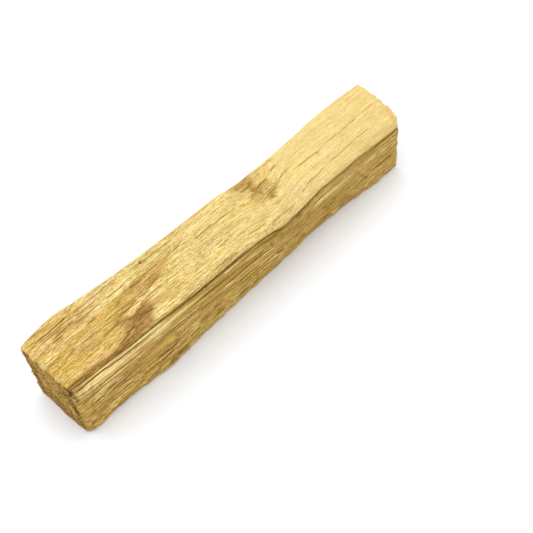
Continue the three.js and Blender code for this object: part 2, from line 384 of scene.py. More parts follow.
@dataclass
class Relief:
    """How far the wood stands out of the plain section, from large forms to fine grain.

    A band is the two places between which a smooth step rises. A ledge has a start, an
    end, a height, its fall along the grain and a depth. A flute has a pitch, a depth, its
    drift along the grain and where its wave starts. A size of the grain has its length,
    its width and its height.
    """

    top_band: Pair = (HEIGHT - 3, HEIGHT - 1)
    left_band: Pair = (LEFT_SIDE - 2.6, LEFT_SIDE - 1.4)
    foot_band: Pair = (0.9, 3.0)
    crack_depth: float = 0.1
    knot_depth: float = 0.65
    knot_size: Pair = (3.0, 2.2)
    hump: Pair = (55.2, 4.0)
    hump_size: Pair = (2.8, 3.0)
    hump_height: float = 0.35
    worm_hole: Pair = (31.3, 6.2)
    worm_hole_radius: float = 0.33
    worm_hole_depth: float = 0.7
    ledges: tuple[tuple[float, ...], ...] = (
        (10.0, 86.0, 11.6, 0.07, 0.7),
        (30.0, LENGTH, 7.2, 0.05, 0.55),
    )
    ledge_rise: float = 0.2
    ledge_fade: Pair = (5.0, 4.0)
    ledge_waves: tuple[Pair, Pair] = ((0.5, 6.0), (0.2, 1.7))
    ledge_seed: int = 41
    flutes: tuple[tuple[float, ...], ...] = (
        (4.3, 0.11, 0.021, 0.7),
        (2.6, 0.08, -0.034, 2.1),
    )
    sawn_flat: float = 0.7
    corner_chip: Triple = (0.4, -7.6, 15.4)
    corner_chip_radius: float = 0.8
    corner_chip_depth: float = 0.6
    grain: tuple[Triple, ...] = ((26.0, 1.3, 0.075), (13.0, 0.55, 0.045), (6.0, 0.26, 0.028))
    split_grain: float = 1.7
    sawn_grain: float = 0.7
    foot_grain: float = 0.35
    foot_grain_band: Pair = (0.5, 3.5)
    floor_band: Pair = (0.05, 1.2)
    floor_cut: float = 0.05
    floor_grain: float = 0.2

    def large(self, x: Array, y: Array, z: Array) -> Array:
        """Return the large forms: hump, knot hollow, worm hole, chip, ledges and flutes.

        The hump and the hollows are bells, the ledges are steps across falling lines, and
        the flutes are sine waves across the grain.

        Args:
            x, y, z: Places on the plain section.

        Returns:
            Height out of the section.
        """
        on_top = step(z, *self.top_band)
        on_left = step(y, *self.left_band) * (1 - on_top)
        off_floor = step(z, *self.foot_band)
        knot_x, knot_y = KNOT_CENTRE
        knot = bell(x - knot_x, self.knot_size[0]) * bell(y - knot_y, self.knot_size[1])
        hump = bell(x - self.hump[0], self.hump_size[0])
        hump = hump * bell(y - self.hump[1], self.hump_size[1])
        hole = np.hypot(x - self.worm_hole[0], y - self.worm_hole[1])
        height = on_top * (self.hump_height * hump - self.knot_depth * knot)
        height -= on_top * self.worm_hole_depth * bell(hole, self.worm_hole_radius)
        chip_x, chip_y, chip_z = self.corner_chip
        chip = np.sqrt((x - chip_x) ** 2 + (y - chip_y) ** 2 + (z - chip_z) ** 2)
        height -= self.corner_chip_depth * bell(chip, self.corner_chip_radius)
        ragged = 0 * x
        for seed, (size, length) in enumerate(self.ledge_waves, self.ledge_seed):
            ragged += size * noise(x / length, 0 * x, 0 * x, seed)
        for start, end, ledge, fall, depth in self.ledges:
            line = ledge - fall * (x - start) + ragged
            below = 1 - step(z, line - self.ledge_rise, line + self.ledge_rise)
            within = step(x, start, start + self.ledge_fade[0])
            within = within * (1 - step(x, end - self.ledge_fade[1], end))
            height -= on_left * depth * below * within * off_floor
        for pitch, flute, drift, start in self.flutes:
            wave = np.sin(2 * np.pi * ((y + z) / pitch + drift * x + start))
            height += off_floor * (1 - self.sawn_flat * on_top) * flute * wave
        return height

    def fine(self, grain: Array, y: Array, z: Array) -> Array:
        """Return the fine grain: noise drawn out along the grain, in three sizes.

        It is deepest on the split right and left sides, shallow on the sawn top, and only
        cuts into the underside.

        Args:
            grain: Grain coordinates from Flow.
            y, z: Places on the plain section.

        Returns:
            Height out of the section.
        """
        on_top = step(z, *self.top_band)
        off_floor = step(z, *self.floor_band)
        height = np.zeros(y.shape)
        for seed, (length, width, size) in enumerate(self.grain, 1):
            along, across, up = (grain[..., axis] for axis in range(3))
            height += size * noise(along / length, across / width, up / width, seed)
        height = height * (self.split_grain + (self.sawn_grain - self.split_grain) * on_top)
        off_foot = step(z, *self.foot_grain_band)
        height = height * (self.foot_grain + (1 - self.foot_grain) * off_foot)
        under = self.floor_cut * (1 - off_floor) * (1 + height / self.floor_grain)
        return height * off_floor - under


@dataclass
class Flow:
    """The way the grain runs: straight, but for the bend at the seam and the knot."""

    top_band: Pair = (HEIGHT - 3.6, HEIGHT - 1.2)
    left_band: Pair = (3.0, 6.5)
    left_turn: float = 1.2
    bend_place: float = 61.8
    bend_length: float = 4.6
    top_bend: float = 1.9
    side_bend: float = 1.6
    side_top: float = HEIGHT - 2
    side_reach: float = 5.5
    lift_place: float = 75.0
    lift_length: float = 6.0
    lift: float = 0.5
    swirl_length: float = 0.8
    swirl_pitch: float = 1.3

    def grain(self, x: Array, y: Array, z: Array) -> Array:
        """Return grain coordinates: places straightened so that the grain runs along X.

        On the top the lines bow towards the right side at the knot. On the right face
        they bow down, less with the distance below the seam. Round each swirl the place
        across the grain becomes the distance to the swirl's middle.

        Args:
            x, y, z: Places on the plain section.

        Returns:
            Array with a last axis of length, across and up.
        """
        on_top = step(z, *self.top_band)
        bow = bell(x - self.bend_place, self.bend_length)
        rise = self.lift * bell(x - self.lift_place, self.lift_length)
        reach = np.exp(-np.maximum(self.side_top - z, 0) / self.side_reach)
        turn = 1 - self.left_turn * step(y, *self.left_band)
        across = y + on_top * turn * (self.top_bend * bow - rise)
        up = z + (1 - on_top) * reach * (self.side_bend * bow - rise)
        for swirl_x, swirl_y, size in SWIRLS:
            away = np.hypot((x - swirl_x) * self.swirl_length, y - swirl_y)
            near = on_top * bell(away, size)
            across = across * (1 - near) + near * (swirl_y + self.swirl_pitch * away)
        return np.stack([x + 0 * across, across, up], -1)


# Top, near part: pale streaks, golden streaks, pinkish wood with fine dark lines
TOP_STREAKS = (
    Marks(Tone.LIGHT, 0.48, 0.75, (
        ((0.7, 1.2), (3.3, 2), (6.7, 2.3), (8.3, 2.5), (11.7, 2.75), (15, 3.2), (18, 3.3), (24, 3.5)),
        ((38, 5.3), (44, 5), (50, 4.6)),
    )),
    Marks(Tone.LIGHT, 0.42, 0.6, (
        ((20.8, -1.7), (23, -1.5), (25, -1), (28, -0.95), (30, -0.9)),
    )),
    Marks(Tone.LIGHT, 0.3, 0.4, (
        ((3.3, -5.3), (7, -5.5), (11, -5.7), (14.5, -5.7)), ((22, 3.9), (25, 3.95)),
        ((1, 7.9), (6, 8.2), (11, 8.6), (15, 8.2)), ((3.4, 2.7), (6.8, 2.95)),
        ((2, -0.8), (8, -0.95), (13, -1), (16, -1.3)), ((17, 6.9), (22, 6.9), (27, 6.6)),
    )),
    Marks(Tone.LIGHT, 0.8, 0.5, (
        ((25, -5.6), (28, -6), (33, -6.5)), ((70.5, 3.3), (76, 3), (81, 3.6)),
    )),
    Marks(Tone.LIGHT, 0.11, 0.95, (
        ((12, -5.55), (13.7, -5.3)), ((14.3, -5.7), (15.2, -5.4), (17, -5.3), (18.5, -5.6)),
        ((8.8, -5.7), (10, -6)), ((8, 0.02), (10, 0.03)), ((9, 2.45), (12, 2.6)),
        ((24, -1.75), (25, -1.45), (28, -1.1)), ((67.8, -2.95), (70.5, -2.7)),
        ((57.4, -1.3), (58.3, -1.8)), ((56.4, -6.3), (57.3, -7.1)), ((55.4, 4.55), (57, 4.5)),
        ((60.8, -1.35), (62.4, -0.62), (65, -0.55)),
    )),
    Marks(Tone.GOLD, 0.5, 0.45, (
        ((7.5, 1.6), (10, 1.75), (14, 1.7), (20, 1.7), (25, 2.2)), ((1, -5), (1.8, -5.6)),
        ((57, 0.6), (58.2, -0.2), (58.4, -1.5)), ((3.5, -3.8), (7.5, -4.1)), ((12, -2.4), (16, -2.4)),
    )),
    Marks(Tone.GOLD, 0.2, 0.7, (
        ((1, 0.1), (3.5, 0.5), (4.6, 0.65)), ((5.2, 0.5), (7.2, 0.6)), ((68.3, -1.45), (70, -0.8)),
        ((72, -0.35), (75, -0.4)), ((99, 0.3), (97, 0.2), (92, 0.2)),
    )),
    Marks(Tone.GOLD, 1, 0.5, (
        ((1.3, -1.8), (4, -2.3), (6.7, -2.5)), ((24, -3), (28, -4), (32, -4.6)),
    )),
    Marks(Tone.GOLD, 0.6, 0.35, (
        ((35, -2.5), (38, -3.8), (41, -4.2)), ((53, -4.4), (55, -5)), ((82, 3.4), (83, 3.4)),
    )),
    Marks(Tone.GOLD, 0.5, 0.75, (
        ((99.9, -3.4), (99.7, -4.5), (99.4, -6.6)),
    ), 1),
    Marks(Tone.GOLD, 0.4, 0.4, (
        ((100.4, 2.4), (100.3, 0.2)),
    ), 1),
    Marks(Tone.LIGHT, 1.3, 0.38, (
        ((3, 5.6), (12, 5.9)),
    )),
    Marks(Tone.PINK, 0.8, 0.55, (
        ((2.5, 4.6), (7, 5.3), (12, 5.3)), ((5.5, -5.2), (8, -5.4), (11, -5.4)), ((9, -2.2), (11, -2.6)),
    )),
    Marks(Tone.PINK, 0.9, 0.7, (
        ((12, 5.4), (16, 6.3), (20, 7)),
    )),
    Marks(Tone.PINK, 0.45, 0.65, (
        ((25, 1.6), (28, 1.4), (29, 0.8)), ((43, 5.9), (47, 6.9)), ((78.5, -3.8), (82, -4.4)),
        ((67, -5.6), (72, -5.6)), ((89.5, -4.9), (92, -5.1)), ((62, -5.6), (66, -5.2), (69, -4.6)),
    )),
    Marks(Tone.PINK, 1.3, 0.35, (
        ((40, -1.2), (48, -1)), ((82, -1), (86, -1.2)),
    )),
)

# Top: the brown band on the shoulder, the flame, and the tan that borders the pale wood
FLAME = (
    Marks(Tone.STAIN, 0.42, 1, (
        ((-1, -6.75), (3, -6.75), (5.5, -6.85)), ((6, -6.6), (8.7, -6.75)), ((9, -7.5), (14, -7.6)),
    )),
    Marks(Tone.STAIN, 0.34, 0.9, (
        ((8.7, -6.9), (12, -6.95), (15, -6.7), (18, -6.4)), ((15, -7.1), (19, -6.9), (22, -6.6)),
    )),
    Marks(Tone.STAIN, 0.6, 1, (
        ((20.3, -3.7), (22.5, -3.7), (24.5, -3.5)), ((19.7, -4.7), (22, -4.6), (24.2, -4.4)),
        ((19.4, -5.6), (21.4, -5.6), (23, -5.4)), ((18.6, -6.5), (20.5, -6.5), (22.3, -6.4)),
    ), 0.8),
    Marks(Tone.PINK, 1.6, 0.9, (
        ((19.5, -4.6), (22, -4.2), (24.4, -3.4)),
    ), 1),
    Marks(Tone.STAIN, 0.75, 0.7, (
        ((17.7, -1.9), (18.3, -2.3), (19.2, -2.9)),
    ), 0.8),
    Marks(Tone.STAIN, 0.5, 0.6, (
        ((24.6, -2.4), (25.4, -2.9)), ((24.8, -3.9), (25.6, -3.9)), ((18, -4.3), (19.8, -4.2)),
    ), 1),
    Marks(Tone.STAIN, 0.42, 0.8, (
        ((20, -3.4), (22, -3.3), (24.5, -3)), ((17, -1.9), (18.6, -2.4), (20, -3.1)),
    ), 1),
    Marks(Tone.STAIN, 0.8, 0.35, (
        ((31, 1.6), (35, 3), (37.5, 3.7)), ((25, -3.6), (27, -3.9), (28.5, -4.3)),
        ((28, 2.9), (31, 3.4), (34, 3.6), (36.5, 4.1)),
    )),
    Marks(Tone.STAIN, 0.6, 0.25, (
        ((22, 0.1), (26, 0.6), (29, 1), (32, 1.9)),
    )),
    Marks(Tone.STAIN, 0.5, 0.75, (
        ((17.3, -2.2), (18.6, -2.4), (20.2, -3.2)), ((22.6, -3), (24.2, -3)),
    ), 0.8),
    Marks(Tone.STAIN, 0.2, 1, (
        ((17.1, -5.1), (18, -5.3), (19.3, -5)), ((15.1, -6.1), (16.2, -5.8), (17.2, -5.6)),
        ((14.1, -6.6), (14.8, -6.6)), ((15.9, -2.25), (17, -2.15)),
    )),
    Marks(Tone.GOLD, 0.35, 1, (
        ((21.9, -2.3), (22.6, -2.45)),
    )),
    Marks(Tone.STAIN, 0.26, 0.55, (
        ((28.3, 0.4), (30, 0.6), (31.3, 0.75)), ((29, 2.9), (31, 3.1), (34, 3.3)),
        ((32.2, 2.9), (32.9, 2.9)), ((33.6, 2.4), (34.6, 2.4)), ((24, 1.9), (28, 2.5)),
        ((13.7, -2.3), (16.7, -2)), ((68.2, 5.6), (70, 5.7)), ((41, -6.9), (46, -7)),
        ((57.7, -7.1), (60.5, -7)), ((61.3, -7.1), (63.8, -7.15)),
    )),
    Marks(Tone.STAIN, 0.16, 1, (
        ((14.3, -5.95), (16, -5.75), (17.4, -5.2), (19.5, -5)),
    )),
    Marks(Tone.STAIN, 0.16, 0.6, (
        ((11.6, 4.25), (13, 4.15), (16, 4.3)), ((5.9, 4.05), (7.7, 4)), ((12.4, 2.25), (15.5, 2.4)),
        ((3.2, 6.5), (6, 6.7), (10.8, 6.95)), ((0.9, 0.1), (4.4, 0.6)),
    )),
)

# Top: the knot, its brown shadow, its fine lines and its two small eyes, with a painted highlight and
# painted shade on a raised curl
KNOT = (
    Marks(Tone.GOLD, 1.7, 0.4, (
        ((59.2, 4.8), (61.5, 3.2), (62.6, 1), (62.6, -1)),
    ), 1),
    Marks(Tone.STAIN, 1.1, 0.7, (
        ((59.6, 5.4), (61, 5.2), (62.6, 5.4)),
    ), 0.9),
    Marks(Tone.STAIN, 1.2, 0.5, (
        ((61.8, 4.4), (62, 2.6), (62.3, 1)),
    ), 0.9),
    Marks(Tone.STAIN, 0.8, 0.42, (
        ((62.6, 4.9), (64.2, 4.8), (65.2, 5.2)),
    ), 0.9),
    Marks(Tone.STAIN, 1, 0.5, (
        ((62.6, 1.7), (64.8, 1.6)), ((62.6, 0.5), (65, 0.3)), ((60.6, -0.3), (63.6, -1.2)),
        ((58.4, 5.6), (60, 5.5)),
    ), 0.9),
    Marks(Tone.STAIN, 0.8, 0.28, (
        ((58.8, 3.2), (60.2, 1.6), (60.4, 0.2), (59.6, -1.4)), ((64, 5.3), (67, 5.1)),
        ((65, 2.3), (65.5, 0.2)), ((57.4, 4.9), (58.6, 5.2)),
    ), 0.8),
    Marks(Tone.STAIN, 0.34, 0.76, (
        ((58.9, 5.35), (60.2, 5.1), (61, 5.45), (61.6, 5.95)), ((61.6, 5.8), (62.6, 6.1)),
        ((59.4, 4), (60.5, 3.95), (61.3, 4.15), (62.1, 4.45), (62.9, 4.75)),
        ((61.6, 3.4), (61.5, 2.5), (61.9, 1.8)), ((62.2, 0.9), (62.3, -0.4)),
    ), 0.8),
    # A dark line under a raised curl: brown grain with painted shade beneath the curl
    Marks(Tone.STAIN, 0.2, 0.95, (
        ((62.7, 2.4), (63.3, 2.65), (64.1, 2.85), (64.8, 2.7), (65.6, 2.75)),
    ), 0.5),
    Marks(Tone.CRACK, 0.2, 0.4, (
        ((61.8, 5.15), (62.9, 5.35)), ((62.05, 3.8), (62.6, 4.2)), ((62.1, 2.95), (62.2, 2.3)),
        ((61.4, 1.7), (61.6, 1)), ((63.1, -0.65), (63.35, -0.95)), ((63.2, -1.5), (63.45, -1.7)),
    ), 0.3),
    # The second of these short lines, under the raised curl, is painted shade
    Marks(Tone.CRACK, 0.16, 0.6, (
        ((61.4, 4.2), (62.1, 4.5), (62.5, 4.65)), ((63.7, 2.75), (64.1, 2.9), (64.6, 2.8)),
        ((60.5, 1.42), (60.9, 1.42)), ((64, -0.25), (64.4, -0.3)), ((62.6, -2.1), (62.8, -2.3)),
        ((62.3, -4.25), (62.5, -4.15)), ((66.2, -0.15), (66.8, 0)), ((63.6, -0.85), (64.6, -0.88)),
    ), 0.3),
    Marks(Tone.GOLD, 0.6, 0.75, (
        ((63, 4.4), (62.7, 3.3), (62.2, 2.3)), ((64.9, 3.7), (66.7, 4.1), (67.6, 4.1)),
    ), 1),
    # The first of these, the bright arc on the raised curl, is a painted highlight
    Marks(Tone.LIGHT, 0.16, 0.9, (
        ((63.2, 3.1), (64.2, 3.35), (65, 3.1)), ((60, 4.6), (61.2, 4.65)), ((61.8, 5.25), (63, 5.4)),
    ), 0.5),
    Marks(Tone.STAIN, 0.13, 0.85, (
        ((63.1, 1.95), (64.4, 2), (65.8, 2.25)), ((62.9, 1.4), (64.8, 1.45)),
        ((62.6, 0.72), (64.9, 0.75)), ((62.2, -0.35), (63.2, -0.3)), ((63.8, -0.3), (64.5, -0.35)),
        ((60.4, -1.6), (61.5, -1.05), (63, -0.84), (65, -0.88)), ((60, 1.4), (60.9, 1.45)),
        ((59.4, 0.7), (60.4, 0.8)),
    )),
    Marks(Tone.STAIN, 0.17, 0.68, (
        ((65.1, 4.75), (65.8, 5)), ((64.9, 0.7), (65.1, 0.2), (64.8, -0.2)),
        ((63.9, -1.45), (63.4, -1.7), (63.25, -2.3), (63.6, -2.8)), ((62.7, -1.5), (62.9, -2.3)),
        ((31, 6.2), (31.5, 6.6)),
    ), 1),
    Marks(Tone.GOLD, 0.14, 0.8, (
        ((70.4, -2.9), (70.45, -5.1)), ((69, -3.6), (69, -5)),
    ), 1),
    # Pale specks of the eyes; the third, on the raised curl, is a painted highlight
    Marks(Tone.LIGHT, 0.26, 1, (
        ((64.3, 0.3), (64.45, 0.3)), ((62.8, 0.3), (63, 0.3)), ((63.8, 3.35), (64.3, 3.3)),
        ((64, -2), (64.3, -2.2)),
    ), 1),
    Marks(Tone.LIGHT, 0.1, 0.7, (
        ((63, 1.68), (65, 1.75)), ((62.8, 1.05), (64.7, 1.1)),
        ((61.5, -0.75), (62.8, -0.52), (65, -0.58)),
    )),
    Marks(Tone.CRACK, 0.16, 0.9, (
        ((0.1, 6.95), (0.1, 6.3)), ((0.12, 6), (0.12, 5.6)), ((0.1, 3.1), (0.1, 2.7)),
        ((0.1, 0.2), (0.1, -0.1)), ((0.1, -0.8), (0.1, -1.1)), ((0.1, -2), (0.1, -2.4)),
        ((0.05, -4), (0.05, -4.3)), ((0.05, -5.3), (0.05, -6)), ((0, -6.4), (0, -7.3)),
    ), 1),
)

# Top: hair cracks and pores, from strong to faint
TOP_CRACKS = (
    Marks(Tone.CRACK, 0.085, 0.95, (
        ((6.3, 4.6), (7.8, 4.75)), ((8.1, 4.85), (9.6, 4.92)), ((10.3, 4.95), (11.5, 5)),
        ((5.8, 4.05), (7.6, 4)), ((9.9, 6.8), (11, 6.95)), ((20.5, 4.3), (25, 4.2)),
        ((9.3, -0.55), (12, -0.4)), ((24.9, -0.5), (26.5, -0.57), (27.2, -0.45)),
        ((19.8, -3.1), (21, -3.05), (22.3, -3.15)), ((22, -2.7), (23.7, -2.75)),
        ((22.2, -4.05), (23.5, -4.3), (24.6, -4.75)), ((22.5, -0.52), (23.8, -0.57)),
        ((17.3, -5.15), (18, -5.35), (19.2, -5)), ((20.3, 1.55), (21.4, 1.5)), ((14, 2.2), (15, 2.3)),
        ((38.4, 3.2), (39.6, 3.25)), ((43.7, 1.95), (46, 2), (48.4, 2.05)), ((50.6, 2), (52.2, 1.7)),
        ((52.3, -5.6), (54, -6), (56.2, -6.05)), ((67.9, 0.45), (68.8, 0.65)), ((68.2, 3.5), (69.6, 3.7)),
        ((68.4, -5.9), (68.8, -5.8)), ((78.6, -0.8), (78.9, -0.75)), ((32.3, -3.1), (32.5, -3.05)),
    )),
    Marks(Tone.CRACK, 0.08, 0.7, (
        ((3.3, 6.6), (5.7, 6.6), (8.3, 6.7), (10, 6.8)), ((4, 6), (8, 6.1), (11.7, 6.15)),
        ((2.8, 5.45), (8, 5.6)), ((6.3, 3.45), (7.7, 3.6)), ((11.5, 4.4), (15, 4.3), (18, 4.45)),
        ((13, 2.2), (15, 2.3)), ((13, 5.5), (17.8, 5.55)), ((5.8, -0.45), (7.2, -0.4)),
        ((12.3, -5.05), (13.7, -5)), ((0.5, -6.42), (4.6, -6.42)), ((14.5, -6.2), (16, -6), (17.2, -5.6)),
        ((23.8, -2.7), (24, -2.1), (24.6, -1.7), (26, -1.75), (27.2, -1.5), (30, -1.4)),
        ((27.2, -0.45), (28.2, -0.25), (29, 0.05), (30, 0.35), (31.5, 0.2)),
        ((16.7, 0.1), (19, 0), (20.5, 0), (23.8, -0.1)), ((18.9, -0.95), (21.5, -1)),
        ((14, 6.7), (22, 6.75), (24.5, 6.65)), ((16.6, 5.6), (18, 5.65)), ((25.5, 2.65), (28, 2.6)),
        ((28.4, 1.65), (30.5, 1.4)), ((29.5, 5.9), (34, 5.75), (38.5, 5.8)), ((36.6, 3.05), (37.3, 3.2)),
        ((48.8, 1.75), (50, 1.85)), ((52.8, 1.4), (54.5, 1.3)), ((56, 1.05), (57.1, 0.85)),
        ((45.2, -3.4), (47.8, -3.35)), ((65.2, -0.4), (66.4, -0.05), (67.8, 0.4)),
        ((69, 0.7), (70.8, 1.1)), ((73, -0.35), (76, -0.4), (79, -0.5)), ((82.5, -0.1), (85.4, -0.1)),
        ((88, -0.1), (89, -0.1)), ((90.3, -0.1), (92, -0.1)), ((70.7, -5.2), (74, -5.1), (76, -4.7)),
        ((79.5, -4.6), (83, -4.45), (86, -4.3)), ((88.2, -4.25), (92, -4.3)),
    )),
    Marks(Tone.CRACK, 0.07, 0.42, (
        ((2.8, 7.5), (4.4, 7.8)), ((4.2, 2.6), (5.2, 2.8)), ((8, 2.95), (12, 2.9)),
        ((12, 4.2), (14.5, 4.3)), ((17, 6.6), (21, 6.6)), ((20, 6.05), (24, 6.15)),
        ((11.5, -1.6), (13.3, -1.4)), ((17, -0.5), (19.2, -0.5), (20.8, -1)),
        ((22.2, -0.55), (23.8, -0.5)), ((29, 0), (31.2, 0.2)), ((23.8, -1.95), (24.7, -1.6), (27, -1.45)),
        ((33, 6.4), (35, 6.4)), ((39.5, 6), (42.4, 6.1)), ((40.4, 4.3), (41.2, 4), (41.8, 4.15)),
        ((45.5, 0.9), (47.2, 0.85)), ((40, -0.35), (44.6, -0.3)), ((44, -4.3), (51, -4.4)),
        ((37.5, -4.3), (41, -4.25)), ((55.5, 4.35), (56.2, 4.2), (57, 4.3)), ((76, -4.7), (79.5, -4.6)),
        ((86, -4.3), (88.2, -4.25)), ((79, -0.5), (82.5, -0.1)), ((85.4, -0.1), (92, -0.1)),
        ((95, -0.05), (98.5, 0.1)), ((92.3, 5.2), (93.4, 5.2)), ((94.8, 5.3), (96.6, 5.4)),
    )),
)

# Near end: torn fibres, dark towards the rim; along its left and lower rims and across its foot the dark
# strokes are painted shade
NEAR_END = (
    # Along the left rim and the lower rim: painted shade
    Marks(Tone.STAIN, 0.55, 0.85, (
        ((7.2, 16), (5.2, 12)), ((6.4, 9), (5.6, 5), (6, 2.5)),
        ((6.5, 1.4), (3, 1), (-1, 0.7), (-7, 0.9)),
    ), 1),
    # A wide band across the foot, darker towards the floor: painted shade
    Marks(Tone.STAIN, 2.6, 0.4, (
        ((6, 2.5), (0, 2), (-6, 2)),
    ), 1),
    # The second of these, on the left rim, is painted shade
    Marks(Tone.STAIN, 0.8, 0.7, (
        ((-6.2, 13), (-6.6, 8), (-7.2, 2.5)), ((6.8, 15.5), (6.6, 9)),
    ), 1),
    Marks(Tone.STAIN, 0.4, 0.8, (
        ((4, 16.4), (2.2, 15.6)), ((2.5, 6), (-1.5, 3.4)), ((-3, 15.5), (-5, 12.5)),
        ((3.4, 12.6), (1, 9.4)),
    ), 1),
    # Dark lines along the left and lower rims: painted shade
    Marks(Tone.CRACK, 0.24, 0.9, (
        ((7.9, 11.5), (7.8, 8), (7.7, 5)), ((7.4, 3.6), (7.2, 1.6)), ((5.5, 0.5), (2, 0.4)),
        ((0.5, 0.5), (-4.5, 0.5)), ((-6.2, 0.7), (-7.4, 1.6)),
    ), 1),
    Marks(Tone.CRACK, 0.3, 0.9, (
        ((-7.6, 17.2), (-6.6, 16.4), (-7.3, 15.4)), ((-7.4, 14.5), (-6.8, 13.8)),
        ((-6.4, 9.2), (-6.7, 8.2)), ((-1, 17.2), (-1.3, 16.9)), ((7, 15), (6.4, 13.8)),
    ), 1),
    Marks(Tone.LIGHT, 0.22, 0.9, (
        ((-1.6, 14.2), (-1.8, 11)), ((1.2, 11), (0.6, 8)), ((-4.5, 8), (-5.2, 5)),
        ((4.4, 8.6), (3.6, 6.4)),
    ), 1),
)

# Left side: streaks that follow the grain, and the foot of the knot
LEFT_STREAKS = (
    Marks(Tone.LIGHT, 0.9, 0.6, (
        ((1, 11.5), (14, 12.2), (30, 11.6), (48, 12.4)), ((40, 5.2), (58, 4.4), (80, 5.4)),
        ((66, 12.8), (82, 13.2), (98, 12.6)),
    )),
    Marks(Tone.LIGHT, 0.22, 0.8, (
        ((5, 8.2), (16, 8.8), (24, 8.5)), ((28, 3.6), (40, 3.2)), ((50, 9.8), (60, 9.2), (70, 9.9)),
        ((76, 7.6), (90, 7.9)),
    )),
    Marks(Tone.STAIN, 0.8, 0.45, (
        ((0.5, 3.5), (9, 4.2), (22, 3.4)), ((33, 8.2), (46, 7.4), (56, 8)),
        ((60, 16), (61.5, 13), (61, 10.5)), ((84, 3), (97, 3.4)),
    )),
    Marks(Tone.STAIN, 0.24, 0.8, (
        ((3, 14.2), (13, 14.6), (22, 14.1)), ((26, 10), (36, 10.4)), ((57, 14.6), (60, 13), (64, 14.2)),
        ((46, 2.2), (60, 1.8)), ((72, 10.8), (84, 11.1)),
    )),
    Marks(Tone.PINK, 1.4, 0.6, (
        ((12, 6), (28, 6.4)), ((64, 7.4), (78, 7)),
    )),
    Marks(Tone.CRACK, 0.07, 0.6, (
        ((7, 10.2), (15, 10.5), (21, 10.2)), ((35, 13.2), (44, 13.6)), ((52, 6.3), (63, 5.9), (70, 6.3)),
        ((80, 9.3), (92, 9.6)), ((23, 1.8), (31, 1.6)),
    )),
)

